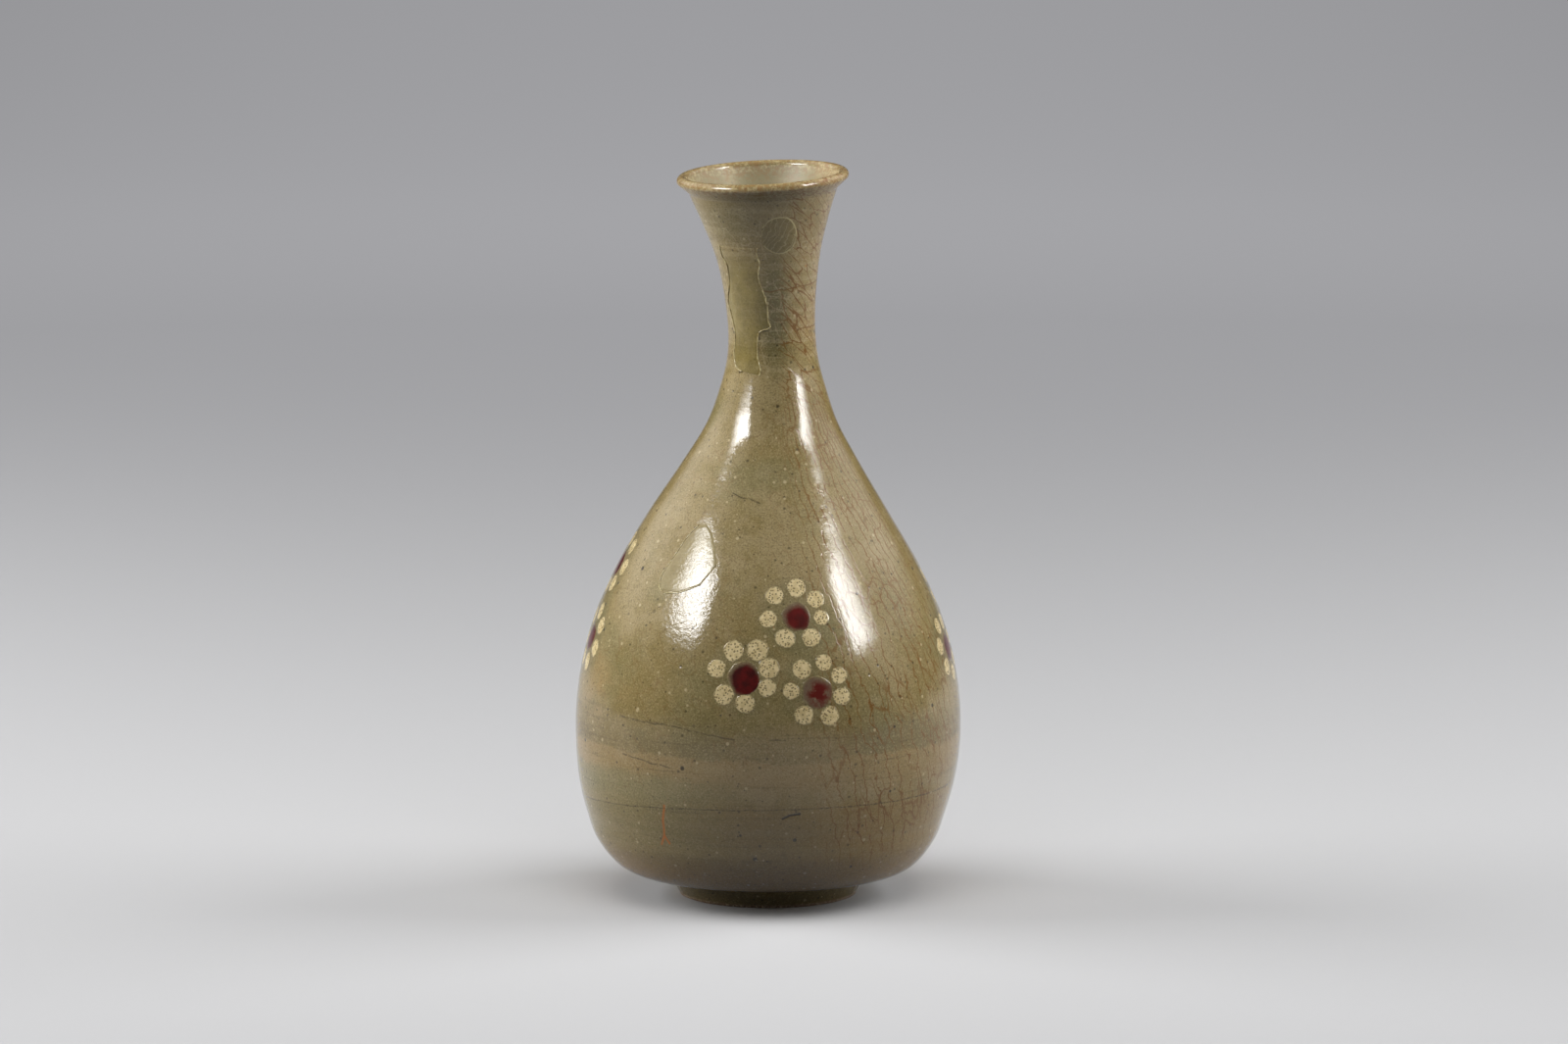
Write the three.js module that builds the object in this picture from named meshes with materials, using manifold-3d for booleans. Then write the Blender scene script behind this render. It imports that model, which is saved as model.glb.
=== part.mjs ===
// A celadon bottle: a round belly on a low foot ring, a drawn-in neck and a flared, rolled lip.
// It is thrown in three sections that are luted together, with stamped flowers inlaid in the shoulder
// and old losses on the neck and shoulder made good with restoration fills.
// Millimetres, +Z up, standing on the foot ring, with the front of the bottle towards -Y.

import * as THREE from 'three';
import { mergeVertices } from 'three/addons/utils/BufferGeometryUtils.js';
import Module from 'manifold-3d';

const wasm = await Module();
wasm.setup();

// Foot ring
const footBaseRadius = 37;
const footFlare = 4.5;
const footHeight = 9.2;
const footRingWidth = 7;
const footHollowDepth = 5;
const footHollowTaper = 1.5;
const footEdgeBevel = 0.9;
const floorThickness = 9.2;

// Turned body, neck and mouth
const bellyRadius = 80.3;
const bellyHeight = 71.5;
const waistRadius = 18.2;
const waistHeight = 236;
const collarFlare = 4.1;
const collarDrop = 24;
const mouthRadius = 35.6;
const mouthHeight = 302;
const lipThickness = 4.4;
const lipOverhang = 4.7;
const lipDrop = 7;
const bodyWall = 5.5;
const neckWall = 4;

// Luting joints between the thrown sections
const tongueHeight = 4;
const tongueShare = 0.5;
const jointClearance = 0.3;

// How the thrown shape leaves the true axis
const bowlDrift = -0.8;
const bowlDriftHeight = 30;
const bowlDriftSpan = 38;
const neckDrift = 2;
const neckDriftHeight = 214;
const neckDriftSpan = 62;
const mouthDrift = -2.2;
const mouthSettleStart = 256;
const mouthSlantSideways = THREE.MathUtils.degToRad(2.5);
const mouthSlantForward = THREE.MathUtils.degToRad(2.3);

// Points between the stations of the profile: share of the rise, share of the change of radius
const bowlShares = [[0.011, 0.309], [0.071, 0.536], [0.238, 0.755], [0.398, 0.851], [0.655, 0.956]];
const shoulderShares = [
  [0.16, 0.034], [0.317, 0.133], [0.473, 0.302], [0.63, 0.521], [0.772, 0.736], [0.9, 0.914],
];
const throatShares = [[0.5, 0.76]];
const flareShares = [[0.271, 0.079], [0.542, 0.291], [0.78, 0.63]];

// Inlaid flowers: a copper-red centre with seven white petals round it, stamped by hand
const petalCount = 7;
const petalRadius = 3.4;
const petalCircleRadius = 11.1;
const petalBridgeWidth = 1.2;
const centreRadius = 5.3;
const inlayDepth = 1.2;
const inlayClearance = 0.3;
const stampTurn = 17;

// The three flowers of a cluster: azimuth from the cluster's middle, and height
const topFlowerHeight = 127;
const leftFlowerHeight = 103;
const rightFlowerHeight = 97.3;
const flowerSeats = [
  { name: 'top', azimuth: 6, height: topFlowerHeight },
  { name: 'lower_left', azimuth: -11.3, height: leftFlowerHeight },
  { name: 'lower_right', azimuth: 11, height: rightFlowerHeight },
];

// The clusters round the shoulder: azimuth from the front, and how much higher one sits
const rightClusterLift = 3;
const backClusterLift = 2;
const leftClusterLift = 13;
const clusters = [
  { name: 'front', azimuth: 4, lift: 0 },
  { name: 'right', azimuth: 91, lift: rightClusterLift },
  { name: 'back', azimuth: 184, lift: backClusterLift },
  { name: 'left', azimuth: 269, lift: leftClusterLift },
];

// The front cluster's petals as they were stamped: direction in degrees, distance from the centre
const frontPetals = {
  top: [[133, 12.2], [86, 12], [40.5, 10.9], [-4, 10.3], [-59, 10.5], [-121, 10.3], [-176, 11.7]],
  lower_left: [[113, 11.9], [66, 12.4], [22, 11.2], [-22, 10.2], [-86, 10.2], [-140, 10.6], [163, 12]],
  lower_right: [[122, 11], [73, 12.3], [32, 11.5], [-13, 10.5], [-64, 11.1], [-122, 10.9], [177, 10.7]],
};

// Restoration fills: outline points are across and up from the middle of each fill. The two on the
// neck keep their places along it, so their heights are shares of its length from collar to mouth.
const neckFoot = waistHeight - collarDrop;
const neckLength = mouthHeight - neckFoot;
const sherdOutline = [
  [-8, 0.311], [-6, 0.222], [-6.8, 0.133], [-9.6, 0.044], [-6.8, -0.072], [-7, -0.183],
  [-5.4, -0.244], [-1.4, -0.274], [6.9, -0.283], [5.4, -0.189], [5.4, -0.122], [6.2, -0.084],
  [10.4, -0.056], [10, 0.028], [8.8, 0.122], [8.3, 0.178], [9.8, 0.244], [10.9, 0.322],
];
const sherdFill = {
  azimuth: -36,
  height: neckFoot + 0.367 * neckLength,
  outline: sherdOutline.map(([across, rise]) => [across, rise * neckLength]),
};
const neckPatch = {
  azimuth: 13.4,
  height: neckFoot + 0.744 * neckLength,
  width: 16.4,
  length: 0.211 * neckLength,
};
const shoulderPatch = {
  azimuth: -34.5,
  height: 148,
  outline: [
    [-0.6, 14.8], [-4.3, 8.9], [-7.4, 1.7], [-11.2, -10], [-9.3, -14.6], [-1.1, -14.6], [8.9, -10.3],
    [14, -2], [7.4, 11.2],
  ],
};
const fillDepth = 1.2;
const fillClearance = 0.3;

// Fineness of the faceted surfaces
const turnSegments = 36;
const outsideSteps = 2;
const insideSteps = 1;
const denseSteps = 24;
const petalSides = 8;
const joinedPetalSides = 6;
const centreSides = 10;
const patchSides = 12;
const lipSteps = 5;
const lipRollStart = -36;
const slopeReach = 1;
const mergeDistance = 1e-4;
const endMargin = 1;
const cutReach = 12;
const proudOfSurface = 3;

const { lerp, clamp, smoothstep, degToRad } = THREE.MathUtils;

// Materials, one for each finish of the real piece
const glazeFinish = { color: 0x8f8a66, roughness: 0.22, metalness: 0 };
const slipFinish = { color: 0xcfc8a6, roughness: 0.3, metalness: 0 };
const copperFinish = { color: 0x4a1c1f, roughness: 0.28, metalness: 0 };
const fillFinish = { color: 0x8b8258, roughness: 0.45, metalness: 0 };

// Stations of the outside profile, and the smooth curve through all its points
const footCorner = new THREE.Vector3(footBaseRadius + footFlare, footHeight, 0);
const belly = new THREE.Vector3(bellyRadius, bellyHeight, 0);
const collar = new THREE.Vector3(waistRadius + collarFlare, neckFoot, 0);
const waist = new THREE.Vector3(waistRadius, waistHeight, 0);
const lipRoot = new THREE.Vector3(mouthRadius - lipOverhang, mouthHeight - lipDrop, 0);

function stretch(from, to, shares) {
  const between = shares.map(([rise, reach]) => {
    return new THREE.Vector3(lerp(from.x, to.x, reach), lerp(from.y, to.y, rise), 0);
  });
  return [...between, to];
}

const profilePoints = [
  footCorner,
  ...stretch(footCorner, belly, bowlShares),
  ...stretch(belly, collar, shoulderShares),
  ...stretch(collar, waist, throatShares),
  ...stretch(waist, lipRoot, flareShares),
];
const profile = new THREE.CatmullRomCurve3(profilePoints, false, 'centripetal');

function wallAt(height) {
  return lerp(bodyWall, neckWall, clamp((height - belly.y) / (collar.y - belly.y), 0, 1));
}

// The profile, or a copy of it that lies deeper in the wall by what depthAt says
function offsetProfile(stepsPerSpan, depthAt) {
  const spans = profilePoints.length - 1;
  const points = [];
  for (let step = 0; step <= spans * stepsPerSpan; step += 1) {
    const along = step / (spans * stepsPerSpan);
    const point = profile.getPoint(along);
    const tangent = profile.getTangent(along);
    const depth = depthAt(point.y);
    points.push(new THREE.Vector2(point.x - tangent.y * depth, point.y + tangent.x * depth));
  }
  return points;
}

const denseOutside = offsetProfile(denseSteps, () => 0);
const denseInside = offsetProfile(denseSteps, wallAt);

function radiusAt(points, height) {
  const next = Math.max(1, points.findIndex((point) => point.y >= height));
  const low = points[next - 1];
  const high = points[next];
  return lerp(low.x, high.x, clamp((height - low.y) / (high.y - low.y), 0, 1));
}

// The part of a profile between two heights, with its end points worked out
function between(points, low, high) {
  return [
    new THREE.Vector2(radiusAt(points, low), low),
    ...points.filter((point) => point.y > low + endMargin && point.y < high - endMargin),
    new THREE.Vector2(radiusAt(points, high), high),
  ];
}

const outside = offsetProfile(outsideSteps, () => 0);
const inside = offsetProfile(insideSteps, wallAt);

// A luting joint: the section below ends in a tongue, and the section above sits over it
function tongue(height) {
  const outer = radiusAt(denseOutside, height);
  const inner = radiusAt(denseInside, height + tongueHeight);
  const shoulder = lerp(outer, inner, tongueShare);
  return [
    new THREE.Vector2(outer, height),
    new THREE.Vector2(shoulder, height),
    new THREE.Vector2(shoulder, height + tongueHeight),
    new THREE.Vector2(inner, height + tongueHeight),
  ];
}

function seatOverTongue(height) {
  const [outer, shoulder, , inner] = tongue(height);
  const top = height + tongueHeight + jointClearance;
  return [
    new THREE.Vector2(inner.x, top),
    new THREE.Vector2(shoulder.x + jointClearance, top),
    new THREE.Vector2(shoulder.x + jointClearance, height),
    outer,
  ];
}

// Solids for joining and cutting
function signedVolume(positions, index) {
  const corners = [new THREE.Vector3(), new THREE.Vector3(), new THREE.Vector3()];
  let volume = 0;
  for (let face = 0; face < index.count; face += 3) {
    corners.forEach((corner, k) => corner.fromBufferAttribute(positions, index.getX(face + k)));
    volume += corners[0].dot(corners[1].clone().cross(corners[2]));
  }
  return volume;
}

function solidFrom(geometry) {
  const bare = geometry.clone();
  bare.deleteAttribute('normal');
  bare.deleteAttribute('uv');
  const merged = mergeVertices(bare, mergeDistance);
  const { position } = merged.attributes;
  const facesOut = signedVolume(position, merged.index) > 0;
  const triangles = [];
  for (let face = 0; face < merged.index.count; face += 3) {
    const [a, b, c] = [0, 1, 2].map((k) => merged.index.getX(face + k));
    if (a !== b && b !== c && c !== a) {
      triangles.push(...(facesOut ? [a, b, c] : [a, c, b]));
    }
  }
  return new wasm.Manifold(new wasm.Mesh({
    numProp: 3,
    vertProperties: new Float32Array(position.array),
    triVerts: new Uint32Array(triangles),
  }));
}

function turned(points) {
  return solidFrom(new THREE.LatheGeometry(points, turnSegments).rotateX(Math.PI / 2));
}

function closed(points) {
  return [...points, points[0].clone()];
}

// A frame on the outside surface: X to the right, Y up the surface, Z straight out of it
function surfaceFrame(azimuth, height) {
  const turn = degToRad(azimuth);
  const radius = radiusAt(denseOutside, height);
  const above = radiusAt(denseOutside, height + slopeReach);
  const below = radiusAt(denseOutside, height - slopeReach);
  const slope = (above - below) / (2 * slopeReach);
  const up = new THREE.Vector3(slope * Math.sin(turn), -slope * Math.cos(turn), 1).normalize();
  const right = new THREE.Vector3(Math.cos(turn), Math.sin(turn), 0);
  const out = right.clone().cross(up);
  const place = new THREE.Vector3(radius * Math.sin(turn), -radius * Math.cos(turn), height);
  return { matrix: new THREE.Matrix4().makeBasis(right, up, out).setPosition(place), rise: up.z, radius };
}

// The azimuth and height reached by going across and up the surface from a place on it
function moveOnSurface(azimuth, height, across, up) {
  const start = surfaceFrame(azimuth, height);
  const newHeight = height + up * start.rise;
  const newRadius = radiusAt(denseOutside, newHeight);
  return { azimuth: azimuth + THREE.MathUtils.radToDeg(across / newRadius), height: newHeight };
}

function plug(place, radius, sides, depth) {
  const length = depth + proudOfSurface;
  const geometry = new THREE.CylinderGeometry(radius, radius, length, sides);
  geometry.rotateX(Math.PI / 2).translate(0, 0, (proudOfSurface - depth) / 2);
  return solidFrom(geometry.applyMatrix4(surfaceFrame(place.azimuth, place.height).matrix));
}

function bridge(from, to, width, depth) {
  const azimuth = (from.azimuth + to.azimuth) / 2;
  const height = (from.height + to.height) / 2;
  const frame = surfaceFrame(azimuth, height);
  const across = degToRad(to.azimuth - from.azimuth) * frame.radius;
  const up = (to.height - from.height) / frame.rise;
  const geometry = new THREE.BoxGeometry(Math.hypot(across, up), width, depth + proudOfSurface);
  geometry.translate(0, 0, (proudOfSurface - depth) / 2).rotateZ(Math.atan2(up, across));
  return solidFrom(geometry.applyMatrix4(frame.matrix));
}

// An outline moved outwards by a distance, for the clearance round a fill
function grown(outline, distance) {
  const points = outline.map(([across, up]) => new THREE.Vector2(across, up));
  const turning = THREE.ShapeUtils.isClockWise(points) ? -1 : 1;
  return points.map((point, k) => {
    const before = points.at(k - 1);
    const after = points[(k + 1) % points.length];
    const first = point.clone().sub(before).normalize();
    const second = after.clone().sub(point).normalize();
    const normal = new THREE.Vector2(first.y + second.y, -first.x - second.x).normalize();
    const spread = Math.max(0.5, normal.dot(new THREE.Vector2(first.y, -first.x)));
    return point.clone().addScaledVector(normal, (turning * distance) / spread);
  });
}

function outlinePrism(points, frame, reachIn, reachOut) {
  const geometry = new THREE.ExtrudeGeometry(new THREE.Shape(points), {
    depth: reachIn + reachOut,
    bevelEnabled: false,
  });
  return solidFrom(geometry.translate(0, 0, -reachIn).applyMatrix4(frame));
}

function ovalOutline(width, length) {
  const points = [];
  for (let side = 0; side < patchSides; side += 1) {
    const turn = (side * 2 * Math.PI) / patchSides;
    points.push([(width / 2) * Math.cos(turn), (length / 2) * Math.sin(turn)]);
  }
  return points;
}

// Everything inside a skin of the given depth, for shallow recesses that follow the surface
function coreUnder(depth) {
  const skin = offsetProfile(outsideSteps, () => depth);
  return turned([new THREE.Vector2(0, skin[0].y), ...skin, new THREE.Vector2(0, skin.at(-1).y)]);
}

// The three thrown sections before anything is cut in them
function lowerSection() {
  const hollowRadius = footBaseRadius - footRingWidth;
  return turned([
    new THREE.Vector2(0, footHollowDepth),
    new THREE.Vector2(hollowRadius - footHollowTaper, footHollowDepth),
    new THREE.Vector2(hollowRadius, footEdgeBevel),
    new THREE.Vector2(hollowRadius + footEdgeBevel, 0),
    new THREE.Vector2(footBaseRadius - footEdgeBevel, 0),
    new THREE.Vector2(footBaseRadius, footEdgeBevel),
    ...outside.filter((point) => point.y < belly.y - endMargin),
    ...tongue(belly.y),
    ...inside.filter((point) => point.y < belly.y).reverse(),
    new THREE.Vector2(0, footHollowDepth + floorThickness),
  ]);
}

function upperSection() {
  const seatTop = belly.y + tongueHeight + jointClearance;
  const inner = between(inside, seatTop, collar.y + tongueHeight);
  return turned(closed([
    ...between(outside, belly.y, collar.y).slice(0, -1),
    ...tongue(collar.y),
    ...inner.slice(1, -1).reverse(),
    ...seatOverTongue(belly.y).slice(0, -1),
  ]));
}

function lipRoll() {
  const centre = new THREE.Vector2(mouthRadius - lipThickness / 2, mouthHeight - lipThickness / 2);
  const points = [];
  for (let step = 0; step <= lipSteps; step += 1) {
    const turn = lerp(degToRad(lipRollStart), Math.PI, step / lipSteps);
    const offset = new THREE.Vector2(Math.cos(turn), Math.sin(turn));
    points.push(offset.multiplyScalar(lipThickness / 2).add(centre));
  }
  return points;
}

function neckSection() {
  const seatTop = collar.y + tongueHeight + jointClearance;
  const inner = between(inside, seatTop, inside.at(-1).y);
  return turned(closed([
    ...between(outside, collar.y, lipRoot.y),
    ...lipRoll(),
    ...inner.slice(1).reverse(),
    ...seatOverTongue(collar.y).slice(0, -1),
  ]));
}

// How the finished bottle leans: a soft bulge to one side, and a mouth that settled as it dried
function bulge(height, middle, span) {
  return Math.max(0, 1 - ((height - middle) / span) ** 2) ** 2;
}

function settled(point) {
  const settling = smoothstep(point.z, mouthSettleStart, mouthHeight);
  const drift = bowlDrift * bulge(point.z, bowlDriftHeight, bowlDriftSpan)
    + neckDrift * bulge(point.z, neckDriftHeight, neckDriftSpan)
    + mouthDrift * settling;
  const slant = point.x * Math.tan(mouthSlantSideways) + point.y * Math.tan(mouthSlantForward);
  return new THREE.Vector3(point.x + drift, point.y, point.z + settling * slant);
}

function meshFrom(solid, name, finish) {
  const { numProp, vertProperties, triVerts } = solid.getMesh();
  const positions = [];
  for (let start = 0; start < vertProperties.length; start += numProp) {
    const point = new THREE.Vector3().fromArray(vertProperties, start);
    positions.push(...settled(point).toArray());
  }
  const geometry = new THREE.BufferGeometry();
  geometry.setAttribute('position', new THREE.Float32BufferAttribute(positions, 3));
  geometry.setIndex([...triVerts]);
  geometry.computeVertexNormals();
  const mesh = new THREE.Mesh(geometry, new THREE.MeshStandardMaterial(finish));
  mesh.name = name;
  return mesh;
}

// Flowers of one cluster: the pieces to lay in, and what has to be cut for them
function flowerPetalPlaces(cluster, seat, flowerNumber) {
  const azimuth = cluster.azimuth + seat.azimuth;
  const height = seat.height + cluster.lift;
  const regular = Array.from({ length: petalCount }, (unused, k) => {
    return [flowerNumber * stampTurn + (k * 360) / petalCount, petalCircleRadius];
  });
  const stamped = cluster.name === 'front' ? frontPetals[seat.name] : regular;
  return stamped.map(([direction, distance]) => {
    const turn = degToRad(direction);
    return moveOnSurface(azimuth, height, distance * Math.cos(turn), distance * Math.sin(turn));
  });
}

// A ring of petals whose slip ran together: thin bridges join each one to the next, save the last
function joinedPetals(places, extra, depth) {
  let ring = plug(places[0], petalRadius + extra, joinedPetalSides, depth);
  places.slice(1).forEach((place, k) => {
    ring = ring.add(plug(place, petalRadius + extra, joinedPetalSides, depth));
    ring = ring.add(bridge(places[k], place, petalBridgeWidth + 2 * extra, depth));
  });
  return ring;
}

function inlaidFlower(cluster, seat, flowerNumber, wall) {
  const label = `${cluster.name}_${seat.name}`;
  const middle = { azimuth: cluster.azimuth + seat.azimuth, height: seat.height + cluster.lift };
  const places = flowerPetalPlaces(cluster, seat, flowerNumber);
  const cutDepth = inlayDepth + inlayClearance;
  const centre = wall.intersect(plug(middle, centreRadius, centreSides, inlayDepth));
  const pieces = [meshFrom(centre, `${label}_centre`, copperFinish)];
  let cut = plug(middle, centreRadius + inlayClearance, centreSides, cutDepth);
  if (cluster.name === 'front') {
    places.forEach((place, k) => {
      const petal = wall.intersect(plug(place, petalRadius, petalSides, inlayDepth));
      pieces.push(meshFrom(petal, `${label}_petal_${k + 1}`, slipFinish));
      cut = cut.add(plug(place, petalRadius + inlayClearance, petalSides, cutDepth));
    });
  } else {
    const ring = wall.intersect(joinedPetals(places, 0, inlayDepth));
    pieces.push(meshFrom(ring, `${label}_petals`, slipFinish));
    cut = cut.add(joinedPetals(places, inlayClearance, cutDepth));
  }
  return { pieces, cut };
}

// A shallow fill whose recess follows the surface
function shallowFill(name, fill, outline, wall) {
  const { matrix } = surfaceFrame(fill.azimuth, fill.height);
  const piece = wall
    .intersect(outlinePrism(grown(outline, 0), matrix, cutReach, cutReach))
    .subtract(coreUnder(fillDepth));
  const cut = outlinePrism(grown(outline, fillClearance), matrix, cutReach, cutReach)
    .subtract(coreUnder(fillDepth + fillClearance));
  return { piece: meshFrom(piece, name, fillFinish), cut };
}

// A fill that stands in for a lost sherd, right through the wall of the neck
function throughFill(name, fill, wall) {
  const turn = degToRad(fill.azimuth);
  const right = new THREE.Vector3(Math.cos(turn), Math.sin(turn), 0);
  const up = new THREE.Vector3(0, 0, 1);
  const frame = new THREE.Matrix4().makeBasis(right, up, right.clone().cross(up));
  frame.setPosition(0, 0, fill.height);
  const reach = mouthRadius + cutReach;
  const piece = wall.intersect(outlinePrism(grown(fill.outline, 0), frame, 0, reach));
  const cut = outlinePrism(grown(fill.outline, fillClearance), frame, 0, reach);
  return { piece: meshFrom(piece, name, fillFinish), cut };
}

const bottle = new THREE.Group();

let shoulder = upperSection();
const shoulderBlank = shoulder;
let flowerNumber = 0;
clusters.forEach((cluster) => {
  flowerSeats.forEach((seat) => {
    const flower = inlaidFlower(cluster, seat, flowerNumber, shoulderBlank);
    bottle.add(...flower.pieces);
    shoulder = shoulder.subtract(flower.cut);
    flowerNumber += 1;
  });
});
const shoulderFill = shallowFill(
  'shoulder_patch_fill', shoulderPatch, shoulderPatch.outline, shoulderBlank,
);
shoulder = shoulder.subtract(shoulderFill.cut);

const neckBlank = neckSection();
const neckOval = ovalOutline(neckPatch.width, neckPatch.length);
const neckFill = shallowFill('neck_patch_fill', neckPatch, neckOval, neckBlank);
const lostSherd = throughFill('neck_sherd_fill', sherdFill, neckBlank);
const neck = neckBlank.subtract(neckFill.cut).subtract(lostSherd.cut);

bottle.add(
  meshFrom(lowerSection(), 'lower_body', glazeFinish),
  meshFrom(shoulder, 'upper_body', glazeFinish),
  meshFrom(neck, 'neck', glazeFinish),
  shoulderFill.piece,
  neckFill.piece,
  lostSherd.piece,
);

export default bottle;
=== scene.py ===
"""The looks of a celadon bottle: its glaze, its inlaid flowers, its old repairs and the studio round it."""

import bisect
import functools
import math
from collections import namedtuple

import bmesh
import bpy
from mathutils import Matrix, Vector, noise


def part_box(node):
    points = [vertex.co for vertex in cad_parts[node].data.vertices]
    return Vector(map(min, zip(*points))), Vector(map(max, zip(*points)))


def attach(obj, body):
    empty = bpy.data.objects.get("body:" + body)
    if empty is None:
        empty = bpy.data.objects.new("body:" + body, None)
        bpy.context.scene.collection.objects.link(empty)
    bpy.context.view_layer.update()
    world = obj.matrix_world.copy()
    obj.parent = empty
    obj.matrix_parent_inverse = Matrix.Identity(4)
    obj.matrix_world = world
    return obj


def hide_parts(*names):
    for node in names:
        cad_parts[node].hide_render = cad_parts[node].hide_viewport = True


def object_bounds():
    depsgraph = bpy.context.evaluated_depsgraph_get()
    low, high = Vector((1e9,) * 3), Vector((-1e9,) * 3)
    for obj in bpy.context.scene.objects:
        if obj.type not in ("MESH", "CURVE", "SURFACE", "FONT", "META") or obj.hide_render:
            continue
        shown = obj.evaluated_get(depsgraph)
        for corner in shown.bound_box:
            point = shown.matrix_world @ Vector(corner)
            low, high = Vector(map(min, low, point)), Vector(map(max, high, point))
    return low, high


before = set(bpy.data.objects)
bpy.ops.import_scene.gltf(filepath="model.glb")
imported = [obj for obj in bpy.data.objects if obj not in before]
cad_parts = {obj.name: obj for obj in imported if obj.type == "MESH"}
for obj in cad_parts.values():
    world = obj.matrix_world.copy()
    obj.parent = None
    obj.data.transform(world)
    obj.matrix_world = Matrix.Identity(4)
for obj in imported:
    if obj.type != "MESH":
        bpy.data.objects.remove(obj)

bl_info = {
    "name": "Celadon Bottle",
    "version": (1, 0, 0),
    "blender": (4, 5, 0),
    "location": "3D View > Sidebar > Bottle",
    "description": "Builds a crackled celadon bottle with inlaid flowers and old repairs",
    "category": "Add Mesh",
}

CAD_LOW, CAD_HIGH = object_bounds()
LOWER_LOW, LOWER_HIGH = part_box("lower_body")
UPPER_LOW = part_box("upper_body")[0]
NECK_LOW, NECK_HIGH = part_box("neck")
MM = 0.001
BODY = "root"
# The finer lip stays this far inside the box of the coarser solid
LIP_MARGIN = 0.05 * MM
# The lip's own colour fades in over these heights below it, outside and inside
RIM_OUTSIDE = 8 * MM
RIM_INSIDE = 10 * MM
# Points of the skin closer than this are one
SEAM = 0.01 * MM

# Points between the stations of the profile: share of the rise, share of the change of radius
BOWL_SHARES = [(0.011, 0.309), (0.071, 0.536), (0.238, 0.755), (0.398, 0.851), (0.655, 0.956)]
SHOULDER_SHARES = [
    (0.16, 0.034), (0.317, 0.133), (0.473, 0.302), (0.63, 0.521), (0.772, 0.736), (0.9, 0.914),
]
THROAT_SHARES = [(0.5, 0.76)]
FLARE_SHARES = [(0.271, 0.079), (0.542, 0.291), (0.78, 0.63)]

# Flowers of a cluster: name, azimuth in degrees from the cluster's middle, height in mm
FLOWER_SEATS = [("top", 6.0, 127.0), ("lower_left", -11.3, 103.0), ("lower_right", 11.0, 97.3)]
# Clusters round the shoulder: name, azimuth in degrees, how much higher they sit in mm
CLUSTERS = [("front", 4.0, 0.0), ("right", 91.0, 3.0), ("back", 184.0, 2.0), ("left", 269.0, 13.0)]

# Petals stamped by hand: direction in degrees, distance from the flower's middle and radius in mm
STAMPED_PETALS = {
    "front_top": [
        (133, 12.3, 3.6), (86, 12.1, 3.8), (40.5, 11.0, 3.6), (-4, 10.4, 3.2), (-59, 10.6, 3.8),
        (-121, 10.5, 4.0), (-176, 11.9, 3.5),
    ],
    "front_lower_left": [
        (113, 12.0, 4.1), (66, 12.6, 4.3), (23, 11.0, 4.2), (-22, 10.3, 3.6), (-86, 10.4, 3.9),
        (-140, 10.8, 4.1), (163, 12.1, 3.8),
    ],
    "front_lower_right": [
        (122, 11.1, 3.8), (73, 12.3, 3.4), (32, 11.6, 3.4), (-13, 10.8, 3.6), (-64, 11.3, 3.9),
        (-122, 11.1, 3.9), (177, 10.9, 3.4),
    ],
}
# Section of a dot or a round patch: share of its radius, share of its lift
LENS_PROFILE = [
    (0.0, 1.0), (0.3, 1.0), (0.55, 0.9), (0.75, 0.6), (0.9, 0.2), (1.0, -0.3), (0.8, -6.0), (0.0, -6.0),
]
PETAL_COUNT = 7
# Petals of the other flowers: distance and radius in mm, and how far each flower is turned from the
# last in degrees
REGULAR_PETAL = (11.1, 3.6)
STAMP_TURN = 17.0
# Red centres: radius in mm, and how worn and patchy the pigment is
STAMPED_CENTRES = {
    "front_top": (5.6, 0.3),
    "front_lower_left": (6.3, 0.0),
    "front_lower_right": (6.0, 0.9),
}
REGULAR_CENTRE = (5.6, 0.4)

# Edges of the repairs from their foot up: azimuth in degrees, height in mm
SHERD_LEFT_EDGE = [
    (-40, 220.8), (-53.5, 223.5), (-58, 228.5), (-56, 236), (-59.5, 241), (-67, 249), (-56.5, 257),
    (-53, 265), (-58, 269), (-56, 273.5),
]
SHERD_RIGHT_EDGE = [
    (-16, 219.6), (-14.8, 222), (-19, 227), (-19, 233), (-17, 236.8), (-14.5, 238), (-1.5, 239.8),
    (-3.5, 242.5), (-3.7, 247.5), (-6.5, 253), (-10.5, 257), (-12, 261), (-9, 267), (-11, 270),
    (-9, 273.5),
]
SHOULDER_PATCH_LEFT = [
    (-43.2, 134.8), (-45.4, 139.2), (-43.5, 145.5), (-42, 149.5), (-39.2, 155.8), (-35.2, 161),
]
SHOULDER_PATCH_RIGHT = [
    (-35.5, 134.6), (-26, 138.6), (-20.8, 146.2), (-23, 153), (-26, 157.8), (-31, 162),
]
# Steps across and up each fill
SHERD_GRID = (26, 90)
SHOULDER_PATCH_GRID = (36, 48)
# The oval patch: azimuth in degrees and height in mm, and its reach across and up in mm
NECK_PATCH_PLACE = (13.4, 279.0)
NECK_PATCH_REACH = (8.3, 9.7)

# How far each thin piece stands off the glaze or is sunk in it, and how thick a line of filler is
PETAL_LIFT = 0.05 * MM
# Each petal lies this much higher than the last, so that two that overlap don't share a face
PETAL_STACK = 0.004 * MM
CENTRE_LIFT = 0.045 * MM
FILL_LIFT = 0.1 * MM
# A fill's edge rises out of the glaze over this width
FILL_EDGE_WIDTH = 1.2 * MM
FILL_EDGE_SINK = 0.03 * MM
NECK_PATCH_LIFT = 0.12 * MM
SHERD_SINK = 1.0 * MM
SHOULDER_PATCH_SINK = 0.8 * MM
SHERD_RIDGE_RADIUS = 0.3 * MM
SHERD_RIDGE_LIFT = 0.02 * MM
SHOULDER_RIDGE_RADIUS = 0.2 * MM
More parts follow.
